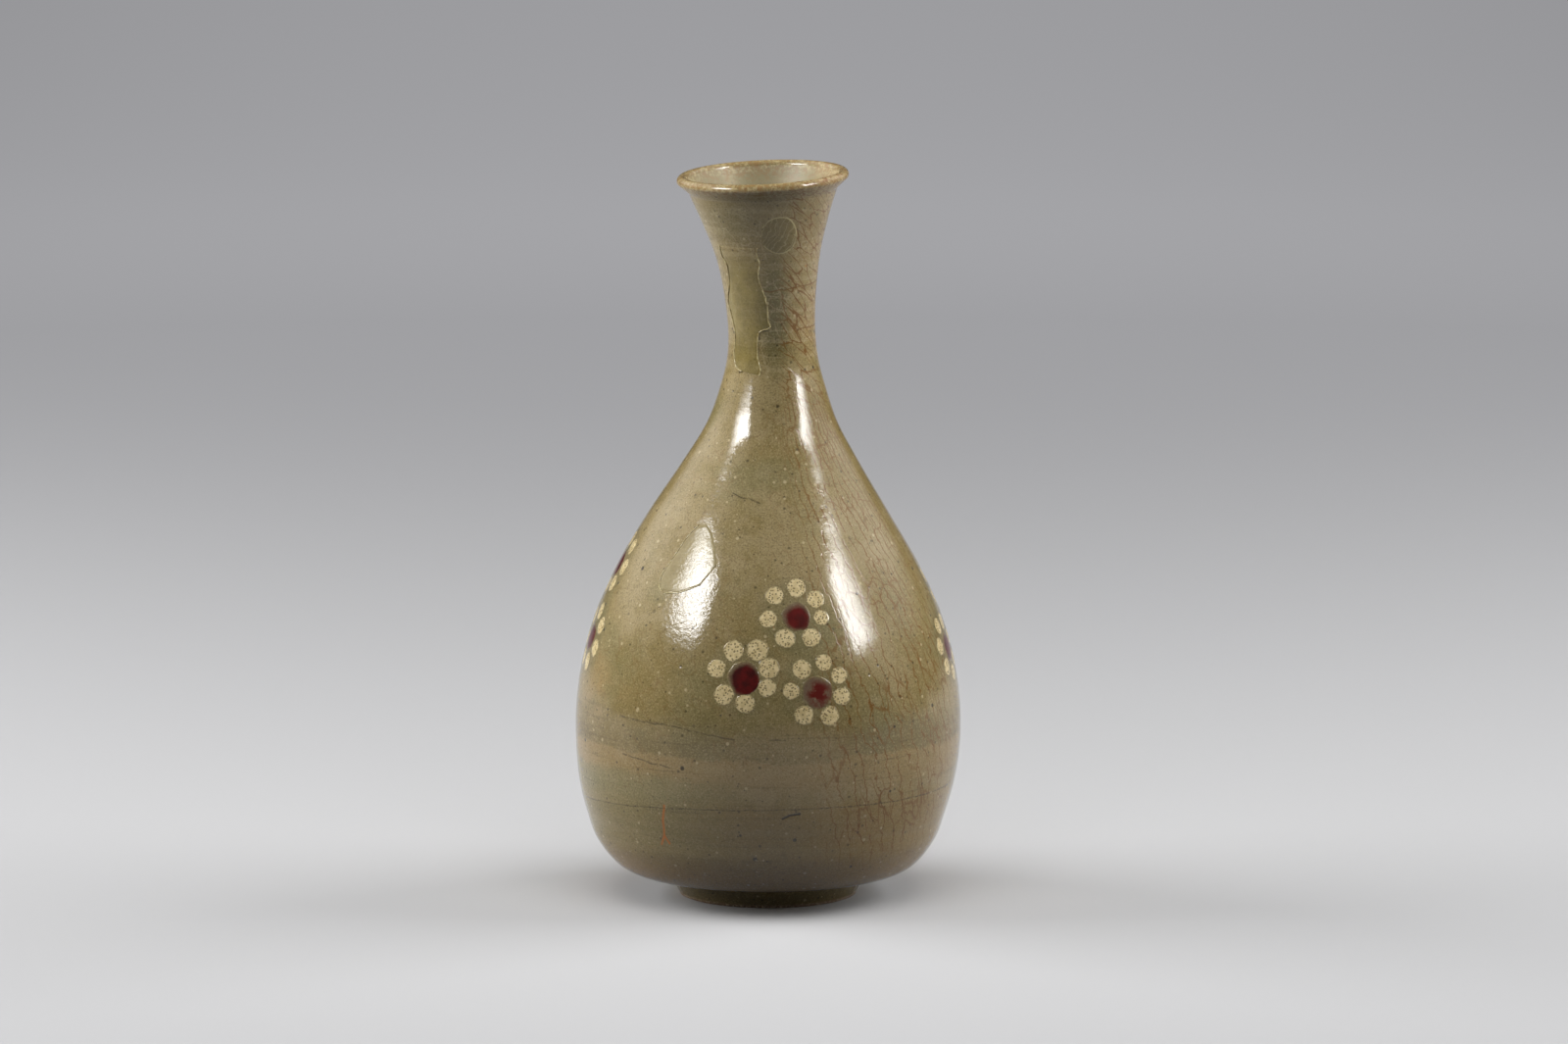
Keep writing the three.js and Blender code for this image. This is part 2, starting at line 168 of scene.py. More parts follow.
# How much wider a dot is made than its stamp, because its edge fades, and how ragged its outline is
PETAL_SPREAD = 1.12
PETAL_RAGGED = 0.12
CENTRE_SPREAD = 1.15
CENTRE_RAGGED = 0.15
PATCH_RAGGED = 0.08

# Marks in the glaze: azimuth in degrees, height in mm
SCRATCHES = [
    [(-49.5, 83), (-28, 82), (-10, 78)],
    [(-48, 68), (-30, 65)],
    [(0.5, 78), (5, 78)],
    [(-23, 174), (-14, 172.2), (-5, 170.5)],
]
BROWN_CRACKS = [[(-7.5, 254.5), (87, 258)], [(35, 238), (84, 239.5)], [(61, 200.2), (63, 202)]]
ORANGE_CRACKS = [[(-32.5, 48.5), (-33.4, 43), (-34, 35.5), (-35.5, 31.5)], [(-34, 35.5), (-32.5, 32)]]
GOUGE = [(5, 45), (7, 46.4), (10, 47)]
TRIMMING_LINE = [(-86, 43), (-26, 48), (6, 49), (44.5, 49), (86, 50)]

# Soft spots in the glaze: azimuth in degrees; height, reach across and reach up in mm; softness
BLUSHES = [(-62, 92, 26, 18, 0.9), (30, 37, 26, 10, 0.9), (26, 23, 24, 8, 0.9)]
GREEN_BELLY_SPOT = (34, 84, 16, 22, 0.8)
GREEN_COLLAR_SPOT = (-30, 285, 20, 14, 0.8)
NECK_POOL = (5, 246, 9, 36, 0.7)
ORANGE_PEEL = (-36, 138, 22, 42, 0.8)

# Bands low on the belly: colour, heights in mm over which a band comes in above its foot and those
# over which it goes out below its top, strength
BANDS = [
    ("band_brown", (68.0, 71.0), (90.0, 73.0), 0.38),
    ("pale_band", (50.0, 60.0), (70.5, 68.5), 0.5),
]
# A greener band on the left, the level streaks and the belly's crackle: heights in mm over which
# each comes in above its foot and goes out below its top
GREEN_BAND = ((16.0, 36.0), (63.0, 58.0))
STREAKED = ((14.0, 30.0), (96.0, 80.0))
CRACKED_BELLY = ((14.0, 34.0), (225.0, 195.0))
# Heights in mm over which a tone or a net of cracks comes in upwards, or downwards where the first
# is the higher
CRACKED_NECK = (190.0, 222.0)
OLIVE_NECK = (200.0, 240.0)
FLUSHED_NECK = (205.0, 250.0)
LINED_NECK = (214.0, 226.0)
LOWER_BELLY = (56.0, 46.0)
# How far from a flower's middle the seeped slip fades in, in mm
HALO_REACH = (19.0, 12.0)
# Tones round the foot: colour, heights in mm between which one fades in downwards, strength
# The last tone, in the pooled glaze colour, darkens the foot towards the floor: partly glaze pooled there,
# partly painted shade
FOOT_TONES = [("foot_brown", (28.0, 14.0), 0.75), ("green", (11.5, 9.0), 0.6), ("pooled", (8.5, 2.0), 0.6)]

# Small specks: colour, one cell in mm, radius in mm, share of the cells left empty, shift of the
# cells in mm, strength, how deep they are sunk
SPECKS = [
    ("pit", 3.0, 0.6, 0.45, (11, 5, 31), 0.6, 0.0),
    ("pit", 8.0, 0.95, 0.55, (3, 8, 1), 0.9, 1.6),
    ("fleck", 4.0, 0.7, 0.5, (40, 2, 9), 0.6, 0.0),
    ("rust", 12.0, 0.5, 0.6, (7, 61, 20), 0.55, 0.0),
]

# Unevenness of the thrown wall in mm: broad swells, level rings and dimples, which are deeper round
# the azimuth given last, in degrees
SWELL_DEPTH = 0.12
RING_DEPTH = 0.02
DIMPLE_DEPTH = 0.008
LEFT_DIMPLE_DEPTH = 0.03
DIMPLED_SIDE = -38.0
# Where the lip's roll starts and ends, in degrees above level
LIP_ROLL = (-36, 180)

SectionPoint = namedtuple("SectionPoint", "radius height inside rim bare")


def smooth_curve(points, steps):
    """A centripetal Catmull-Rom curve through the points, with so many steps to each span."""
    corners = [Vector(point) for point in points]
    corners = [2 * corners[0] - corners[1], *corners, 2 * corners[-1] - corners[-2]]
    curve = []
    for before, start, end, after in zip(corners, corners[1:], corners[2:], corners[3:]):
        first = math.sqrt((start - before).length)
        middle = math.sqrt((end - start).length)
        last = math.sqrt((after - end).length)
        leaving = (start - before) / first - (end - before) / (first + middle) + (end - start) / middle
        arriving = (end - start) / middle - (after - start) / (middle + last) + (after - end) / last
        for step in range(steps):
            t = step / steps
            curve.append(
                (2 * t**3 - 3 * t**2 + 1) * start
                + (t**3 - 2 * t**2 + t) * middle * leaving
                + (3 * t**2 - 2 * t**3) * end
                + (t**3 - t**2) * middle * arriving
            )
    return [*curve, corners[-2]]


def between(low, high, share):
    """The value a share of the way from low to high."""
    return low + (high - low) * share


def ease(value, low, high):
    """A smooth step from 0 at low to 1 at high."""
    t = max(0.0, min(1.0, (value - low) / (high - low)))
    return t * t * (3 - 2 * t)


def bulge(height, middle, span):
    """A soft bump, 1 at its middle and 0 a span away."""
    return max(0.0, 1 - ((height - middle) / span) ** 2) ** 2


def along_edge(edge, share):
    """Azimuth and height at a share of an edge's rise."""
    heights = [height for azimuth, height in edge]
    height = between(heights[0], heights[-1], share)
    at = min(max(bisect.bisect_left(heights, height), 1), len(edge) - 1)
    (low_azimuth, low), (high_azimuth, high) = edge[at - 1], edge[at]
    return between(low_azimuth, high_azimuth, (height - low) / (high - low)), height


def shade(red, green, blue):
    """A colour read off a screen, 0 to 255, as the linear values that Blender mixes."""
    parts = [value / 255 for value in (red, green, blue)]
    return tuple(part / 12.92 if part < 0.04045 else ((part + 0.055) / 1.055) ** 2.4 for part in parts)


class TurnedForm:
    """The turned bottle in metres: its outside, its wall, and how it leaned as it dried."""

    def __init__(self, shape):
        self.shape = shape
        foot_corner = (shape.foot_radius + shape.foot_flare, shape.foot_height)
        belly = ((LOWER_HIGH.x - LOWER_LOW.x) / 2, UPPER_LOW.z)
        collar = (shape.waist_radius + shape.collar_flare, NECK_LOW.z)
        waist = (shape.waist_radius, shape.waist_height)
        lip_root = (shape.mouth_radius - shape.lip_overhang, shape.mouth_height - shape.lip_drop)
        points = [foot_corner]
        for start, end, shares in (
            (foot_corner, belly, BOWL_SHARES),
            (belly, collar, SHOULDER_SHARES),
            (collar, waist, THROAT_SHARES),
            (waist, lip_root, FLARE_SHARES),
        ):
            points += [
                (between(start[0], end[0], reach), between(start[1], end[1], rise))
                for rise, reach in shares
            ]
            points.append(end)
        self.belly_height = belly[1]
        self.collar_height = collar[1]
        self.lip_root_height = lip_root[1]
        self.outside = smooth_curve(points, shape.span_steps)
        self.heights = [point.y for point in self.outside]

    def radius(self, height):
        """Outside radius at a height."""
        at = min(max(bisect.bisect_left(self.heights, height), 1), len(self.heights) - 1)
        low, high = self.outside[at - 1], self.outside[at]
        share = max(0.0, min(1.0, (height - low.y) / (high.y - low.y)))
        return between(low.x, high.x, share)

    def slope(self, height):
        """How fast the outside radius grows with height."""
        reach = 1.0 * MM
        return (self.radius(height + reach) - self.radius(height - reach)) / (2 * reach)

    def wall(self, height):
        """Wall thickness at a height."""
        share = (height - self.belly_height) / (self.collar_height - self.belly_height)
        return between(self.shape.body_wall, self.shape.neck_wall, max(0.0, min(1.0, share)))

    def wobble(self, azimuth, height):
        """How far the potter's hand left the surface inside the true circle."""
        turn = math.radians(azimuth)
        here = Vector((math.sin(turn), -math.cos(turn), 0.0))
        swell = noise.noise(here * 1.3 + Vector((0, 0, height * 16)))
        dimple = noise.noise(here * 6.5 + Vector((3, 1, height * 95)))
        ring = noise.noise(here * 0.5 + Vector((7, 2, height * 190)))
        left_side = ease(math.cos(turn - math.radians(DIMPLED_SIDE)), 0.6, 0.98)
        whole = SWELL_DEPTH * (swell - 0.9) + RING_DEPTH * (ring - 1)
        whole += (DIMPLE_DEPTH + LEFT_DIMPLE_DEPTH * left_side) * (dimple - 1)
        window = ease(height, self.shape.foot_height, self.shape.foot_height + 8 * MM)
        window *= 1 - ease(height, self.lip_root_height - 14 * MM, self.lip_root_height - 2 * MM)
        return whole * window * MM

    def settle(self, point):
        """Where a point of the true form ends up once the bottle leaned and its mouth settled."""
        shape = self.shape
        settling = ease(point.z, shape.settle_start, shape.mouth_height)
        drift = (
            shape.bowl_drift * bulge(point.z, shape.bowl_drift_height, shape.bowl_drift_span)
            + shape.neck_drift * bulge(point.z, shape.neck_drift_height, shape.neck_drift_span)
            + shape.mouth_drift * settling
        )
        slant = point.x * math.tan(shape.slant_sideways) + point.y * math.tan(shape.slant_forward)
        return Vector((point.x + drift, point.y, point.z + settling * slant))

    def place(self, azimuth, height, lift=0.0):
        """A point on the outside, raised off it by lift. Azimuth in degrees from the front."""
        slope = self.slope(height)
        out = lift / math.hypot(1, slope)
        radius = self.radius(height) + out + self.wobble(azimuth, height)
        turn = math.radians(azimuth)
        return self.settle(Vector((radius * math.sin(turn), -radius * math.cos(turn), height - slope * out)))

    def along(self, azimuth, height, across, up):
        """Azimuth and height reached by going across and up the surface from a place on it."""
        new_height = height + up / math.hypot(1, self.slope(height))
        return azimuth + math.degrees(across / self.radius(new_height)), new_height

    def foot_section(self):
        """The underside and the foot ring, from the middle outwards."""
        shape = self.shape
        hollow = shape.foot_radius - shape.foot_ring_width
        edge = shape.foot_edge
        top = shape.foot_hollow
        corners = [
            (0.0, top, 0.2), (hollow * 0.5, top, 0.2), (hollow - 2 * edge, top, 0.3),
            (hollow - edge, top - 0.35 * edge, 0.5), (hollow, 1.1 * edge, 1.0),
            (hollow + 0.35 * edge, 0.35 * edge, 1.0), (hollow + 1.1 * edge, 0.0, 1.0),
            (shape.foot_radius - 1.1 * edge, 0.0, 1.0), (shape.foot_radius - 0.3 * edge, 0.3 * edge, 1.0),
            (shape.foot_radius, 1.1 * edge, 0.6),
            (shape.foot_radius + 0.42 * shape.foot_flare, 0.45 * shape.foot_height, 0.0),
            (shape.foot_radius + 0.8 * shape.foot_flare, 0.85 * shape.foot_height, 0.0),
        ]
        return [SectionPoint(radius, height, 0.0, 0.0, bare) for radius, height, bare in corners]

    def lip_section(self):
        """The roll of the lip, from under its outer edge over to the inside."""
        roll = self.shape.lip_thickness / 2
        middle = Vector((self.shape.mouth_radius - roll, self.shape.mouth_height - roll - LIP_MARGIN))
        points = []
        for step in range(1, self.shape.lip_steps + 1):
            turn = between(*LIP_ROLL, step / self.shape.lip_steps)
            on_roll = middle + roll * Vector((math.cos(math.radians(turn)), math.sin(math.radians(turn))))
            inside = ease(turn, 100, 180)
            points.append(SectionPoint(on_roll.x, on_roll.y, inside, 1.0, 0.0))
        return points

    def inner_section(self):
        """The inside wall from the mouth down to the middle of the floor."""
        shape = self.shape
        floor = shape.foot_hollow + shape.floor_thickness
        ceiling = shape.mouth_height - 1.2 * shape.lip_thickness
        points = []
        outer = self.outside[:: shape.inside_stride]
        for below, point, above in zip(outer, outer[1:], outer[2:]):
            up = (above - below).normalized()
            depth = self.wall(point.y)
            radius, height = point.x - up.y * depth, point.y + up.x * depth
            if floor + 0.5 * MM < height < ceiling:
                rim = ease(height, self.lip_root_height - RIM_INSIDE, self.lip_root_height)
                points.append(SectionPoint(radius, height, 1.0, 0.8 * rim, 0.0))
        points.insert(0, SectionPoint(points[0].radius * 0.6, floor, 1.0, 0.0, 0.0))
        points.insert(0, SectionPoint(0.0, floor, 1.0, 0.0, 0.0))
        return points[::-1]

    def section(self):
        """The closed section from the underside's middle round to the middle of the inside floor."""
        outer = []
        for point in self.outside:
            rim = ease(point.y, self.lip_root_height - RIM_OUTSIDE, self.lip_root_height)
            outer.append(SectionPoint(point.x, point.y, 0.0, 0.6 * rim, 0.0))
        return self.foot_section() + outer + self.lip_section() + self.inner_section()


def new_object(name, data):
    """An object in the scene, at the origin."""
    made = bpy.data.objects.new(name, data)
    bpy.context.scene.collection.objects.link(made)
    return made


def new_mesh(name, source, material):
    """Turns a bmesh into an object of one material."""
    mesh = bpy.data.meshes.new(name)
    source.to_mesh(mesh)
    source.free()
    mesh.materials.append(material)
    return new_object(name, mesh)


def new_piece(name, source, slot_name, material, *nodes):
    """Turns a bmesh into a finished piece that rides on the bottle and stands for CAD nodes."""
    piece = new_mesh(name, source, material)
    piece.data.polygons.foreach_set("use_smooth", [True] * len(piece.data.polygons))
    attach(piece, BODY)
    if nodes:
        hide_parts(*nodes)


def throw_bottle(form):
    """The whole glazed bottle as one closed skin, spun from its section."""
    source = bmesh.new()
    layers = {part: source.verts.layers.float.new(part) for part in ("inside", "rim", "bare")}
    corners = []
    for point in form.section():
        corner = source.verts.new((point.radius, 0.0, point.height))
        for part, layer in layers.items():
            corner[layer] = getattr(point, part)
        corners.append(corner)
    edges = [source.edges.new(pair) for pair in zip(corners, corners[1:])]
    bmesh.ops.spin(
        source, geom=[*corners, *edges], cent=(0, 0, 0), axis=(0, 0, 1), dvec=(0, 0, 0),
        angle=math.tau, steps=form.shape.turn_steps, use_merge=True, use_duplicate=False,
    )
    bmesh.ops.remove_doubles(source, verts=source.verts[:], dist=SEAM)
    bmesh.ops.recalc_face_normals(source, faces=source.faces[:])
    inside = layers["inside"]
    for vert in source.verts:
        outward = Vector((vert.co.x, vert.co.y, 0.0))
        if vert[inside] == 0.0 and outward.length > form.shape.foot_radius / 3:
            azimuth = math.degrees(math.atan2(vert.co.x, -vert.co.y))
            vert.co += outward.normalized() * form.wobble(azimuth, vert.co.z)
        vert.co = form.settle(vert.co)
    return source


def add_lens(source, form, azimuth, height, reach, lift, ragged, seed):
    """A flat lens laid on the bottle, its skirt sunk in the glaze: a dot of slip or a round patch."""
    layer = source.verts.layers.float.get("edge") or source.verts.layers.float.new("edge")
    lean = source.verts.layers.float.get("lean") or source.verts.layers.float.new("lean")
    corners = [source.verts.new((share, 0.0, rise)) for share, rise in LENS_PROFILE]
    for corner in corners:
        corner[layer] = corner.co.x
    edges = [source.edges.new(pair) for pair in zip(corners, corners[1:])]
    before = set(source.verts) - set(corners)
    bmesh.ops.spin(
        source, geom=[*corners, *edges], cent=(0, 0, 0), axis=(0, 0, 1), dvec=(0, 0, 0),
        angle=math.tau, steps=form.shape.dot_steps, use_merge=True, use_duplicate=False,
    )
    fresh = [vert for vert in source.verts if vert not in before]
    bmesh.ops.remove_doubles(source, verts=fresh, dist=1e-4)
    fresh = [vert for vert in source.verts if vert not in before]
    faces = {face for vert in fresh for face in vert.link_faces}
    bmesh.ops.recalc_face_normals(source, faces=list(faces))
    for vert in fresh:
        spread = 1 + ragged * noise.noise(Vector((vert.co.x, vert.co.y, seed * 3.7)) * 1.6)
        vert[lean] = (vert.co.y - vert.co.x) / math.sqrt(2)
        across, up = vert.co.x * reach[0] * spread, vert.co.y * reach[1] * spread
        vert.co = form.place(*form.along(azimuth, height, across, up), vert.co.z * lift)


def petal_places(cluster, seat, flower_number):
    """Direction, distance and radius of each petal of a flower."""
    stamped = STAMPED_PETALS.get(f"{cluster}_{seat}")
    if stamped:
        return stamped
    distance, radius = REGULAR_PETAL
    return [
        (flower_number * STAMP_TURN + petal * 360 / PETAL_COUNT, distance, radius)
        for petal in range(PETAL_COUNT)
    ]


def flower_middles():
    """Cluster, seat, flower number, azimuth and height in metres of every flower."""
    number = 0
    for cluster, cluster_azimuth, raised in CLUSTERS:
        for seat, azimuth, height in FLOWER_SEATS:
            yield cluster, seat, number, cluster_azimuth + azimuth, (height + raised) * MM
            number += 1


def slab_mesh(form, left_edge, right_edge, grid, depth):
    """A patch between two edges, laid over the bottle's outside and sunk a little way into its wall."""
    source = bmesh.new()
    bmesh.ops.create_grid(source, x_segments=grid[0], y_segments=grid[1], size=0.5)
    bmesh.ops.solidify(source, geom=source.faces[:], thickness=1.0)
    for vert in source.verts:
        column, row = vert.co.x + 0.5, vert.co.y + 0.5
        left_azimuth, left_height = along_edge(left_edge, row)
        right_azimuth, right_height = along_edge(right_edge, row)
        height = between(left_height, right_height, column) * MM
        azimuth = between(left_azimuth, right_azimuth, column)
        width = math.radians(right_azimuth - left_azimuth) * form.radius(height)
        length = (left_edge[-1][1] - left_edge[0][1]) * MM
        margin = min(column * width, (1 - column) * width, row * length, (1 - row) * length)
        lift = between(-FILL_EDGE_SINK, FILL_LIFT, ease(margin, 0.0, FILL_EDGE_WIDTH))
        top = vert.co.z > -0.5
        vert.co = form.place(azimuth, height, lift if top else -depth)
    return source


def ridge_mesh(form, places, radius, lift):
    """A thin raised line of filler that follows the bottle through the places given."""
    curve = bpy.data.curves.new("ridge", "CURVE")
    curve.dimensions = "3D"
    curve.bevel_depth = radius
    curve.bevel_resolution = 2
    curve.use_fill_caps = True
    path = smooth_curve([(azimuth, height) for azimuth, height in places], 6)
    spline = curve.splines.new("POLY")
    spline.points.add(len(path) - 1)
    for number, (point, (azimuth, height)) in enumerate(zip(spline.points, path)):
        stray = 0.25 * noise.noise(Vector((number * 0.9, 4.1, height)))
        point.co = (*form.place(azimuth + 1.2 * stray, (height + stray) * MM, lift), 1.0)
        point.radius = 1 + 0.5 * noise.noise(Vector((number * 0.7, 1.3, 0.0)))
    line = bpy.data.objects.new("ridge", curve)
    mesh = bpy.data.meshes.new_from_object(line)
    source = bmesh.new()
    source.from_mesh(mesh)
    bpy.data.objects.remove(line)
    bpy.data.curves.remove(curve)
    bpy.data.meshes.remove(mesh)
    bmesh.ops.remove_doubles(source, verts=source.verts[:], dist=1e-6)
    bmesh.ops.recalc_face_normals(source, faces=source.faces[:])
    return source


class Signal:
    """A value that changes over a surface. Sums and products of it add the Math nodes they need."""

    def __init__(self, recipe, socket):
        self.recipe = recipe
        self.socket = socket

    def math(self, operation, other):
        return self.recipe.node("ShaderNodeMath", {"operation": operation}, (self, other))

    def __add__(self, other):
        return self.math("ADD", other)

    def __sub__(self, other):
        return self.math("SUBTRACT", other)

    def __rsub__(self, other):
        return self * -1.0 + other

    def __mul__(self, other):
        return self.math("MULTIPLY", other)

    def __truediv__(self, other):
        return self.math("DIVIDE", other)

    def __rtruediv__(self, other):
        return self**-1.0 * other

    def __pow__(self, other):
        return self.math("POWER", other)

    __radd__ = __add__
    __rmul__ = __mul__

    def least(self, other):
        return self.math("MINIMUM", other)

    def most(self, other):
        return self.math("MAXIMUM", other)


class Recipe:
    """The nodes of one material or group, with the place on the bottle worked out in millimetres."""

    def __init__(self, tree):
        self.tree = tree
        spot = self.node("ShaderNodeTexCoord", outlet="Object")
        self.spot = self.vector("MULTIPLY", spot, (1 / MM, 1 / MM, 1 / MM))
        self.x, self.y, self.height = self.parts(self.spot)
        self.radius = (self.x * self.x + self.y * self.y) ** 0.5
        self.turn = self.x.math("ARCTAN2", self.y * -1.0)
        self.unrolled = self.node("ShaderNodeCombineXYZ", None, (self.turn * self.radius, self.height, 0.0))

    def node(self, kind, settings=None, inlets=(), outlet=0):
        """Adds a node: its settings first, then the values or links of its sockets."""
        node = self.tree.nodes.new(kind)
        for name, value in (settings or {}).items():
            setattr(node, name, value)
        pairs = inlets.items() if isinstance(inlets, dict) else enumerate(inlets)
        for key, value in pairs:
            self.feed(node.inputs[key], value)
        return Signal(self, node.outputs[outlet]) if node.outputs else None

    def feed(self, socket, value):
        """Links a signal to a socket, or sets the socket's own value."""
        if isinstance(value, Signal):
            self.tree.links.new(value.socket, socket)
        elif hasattr(socket.default_value, "__len__") and len(socket.default_value) == 4:
            socket.default_value = (*value[:3], 1.0)
        else:
            socket.default_value = value

    def parts(self, vector):
        """The three parts of a vector."""
        node = self.node("ShaderNodeSeparateXYZ", None, (vector,)).socket.node
        return [Signal(self, socket) for socket in node.outputs]

    def vector(self, operation, first, second=(0, 0, 0), outlet="Vector"):
        return self.node("ShaderNodeVectorMath", {"operation": operation}, (first, second), outlet)

    def fade(self, value, low, high):
        """A smooth step from 0 at low to 1 at high, or the other way round if low is above high."""
        settings = {"interpolation_type": "SMOOTHSTEP", "clamp": True}
        return self.node("ShaderNodeMapRange", settings, (value, low, high, 0.0, 1.0))

    def blend(self, share, first, second):
        """Mixes two colours."""
        return self.node("ShaderNodeMix", {"data_type": "RGBA"}, {0: share, 6: first, 7: second}, 2)

    def clouds(self, size, detail=2.0, rough=0.5, vector=None):
        """Cloudy noise whose lumps are so many millimetres across."""
        inlets = {"Vector": vector or self.spot, "Scale": 1 / size, "Detail": detail, "Roughness": rough}
        return self.node("ShaderNodeTexNoise", None, inlets, "Fac")

    def noise_colour(self, vector, size, detail):
        """Three cloudy values at once, to bend lines with."""
        inlets = {"Vector": vector, "Scale": 1 / size, "Detail": detail}
        return self.node("ShaderNodeTexNoise", None, inlets, "Color")

    def cells(self, size, feature="F1", vector=None, outlet="Distance"):
        """Scattered cells so many millimetres across."""
        inlets = {"Vector": vector or self.spot, "Scale": 1 / size}
        return self.node("ShaderNodeTexVoronoi", {"feature": feature}, inlets, outlet)

    def attribute(self, name):
        """A value kept on the mesh."""
        return self.node("ShaderNodeAttribute", {"attribute_name": name}, outlet="Fac")

    def unrolled_place(self, form, azimuth, height):
        """Where a place in degrees and millimetres lies once the surface is unrolled."""
        point = form.place(azimuth, height * MM) / MM
        radius = math.hypot(point.x, point.y)
        return Vector((math.atan2(point.x, -point.y) * radius, point.z, 0.0))

    def near(self, form, azimuth, height, across, up, soft):
        """A soft oval spot: 1 in its middle and 0 outside it."""
        middle = self.unrolled_place(form, azimuth, height)
        offset = self.vector("SUBTRACT", self.unrolled, middle)
        scaled = self.vector("MULTIPLY", offset, (1 / across, 1 / up, 0.0))
        return self.fade(self.vector("LENGTH", scaled, outlet="Value"), 1.0, 1.0 - soft)

    def stroke(self, form, places, width, stray=0.0):
        """A thin line through places on the surface: 1 on it and 0 beside it."""
        here = self.unrolled
        if stray:
            centred = self.vector("SUBTRACT", self.noise_colour(self.spot, 6, 3.0), (0.5, 0.5, 0.5))
            here = self.vector("ADD", here, self.vector("MULTIPLY", centred, (stray, stray, 0.0)))
        spots = [self.unrolled_place(form, azimuth, height) for azimuth, height in places]
        distances = []
        for start, end in zip(spots, spots[1:]):
            whole = end - start
            offset = self.vector("SUBTRACT", here, start)
            share = self.vector("DOT_PRODUCT", offset, whole / whole.length_squared, outlet="Value")
            share = share.most(0.0).least(1.0)
            reached = self.node("ShaderNodeVectorMath", {"operation": "SCALE"}, {0: whole, "Scale": share})
            distances.append(self.vector("DISTANCE", offset, reached, outlet="Value"))
        return self.fade(functools.reduce(Signal.least, distances), width, width * 0.3)


class Finish(Recipe):
    """A material that feeds one shader."""

    def __init__(self, name):
        self.material = bpy.data.materials.new(name)
        self.material.use_nodes = True
        self.shader = self.material.node_tree.nodes["Principled BSDF"]
        super().__init__(self.material.node_tree)

    def glaze(self, form, look):
        """Colour, roughness and relief of the bottle's glaze, from the group that every finish shares."""
        group = glaze_group(form, look)
        colour = self.node("ShaderNodeGroup", {"node_tree": group}, outlet="Colour")
        outlets = colour.socket.node.outputs
        return colour, Signal(self, outlets["Roughness"]), Signal(self, outlets["Relief"])

    def finish(self, colour, roughness, **constants):
        """Feeds the shader: what varies is linked, and what is constant is set on its own socket."""
        self.feed(self.shader.inputs["Base Color"], colour)
        self.feed(self.shader.inputs["Roughness"], roughness)
        for name, value in constants.items():
            self.feed(self.shader.inputs[name.replace("_", " ")], value)
        return self.material

    def glossy(self, colour, roughness, relief, look):
        """A crisp shine over the fine relief, with a thin, softer haze above it."""
        inlets = {"Strength": 1.0, "Distance": look.relief, "Height": relief}
        bump = self.node("ShaderNodeBump", None, inlets, "Normal")
        return self.finish(
            colour, roughness, Normal=bump, Coat_Weight=0.2, Coat_Roughness=0.42, Specular_IOR_Level=0.5,
        )


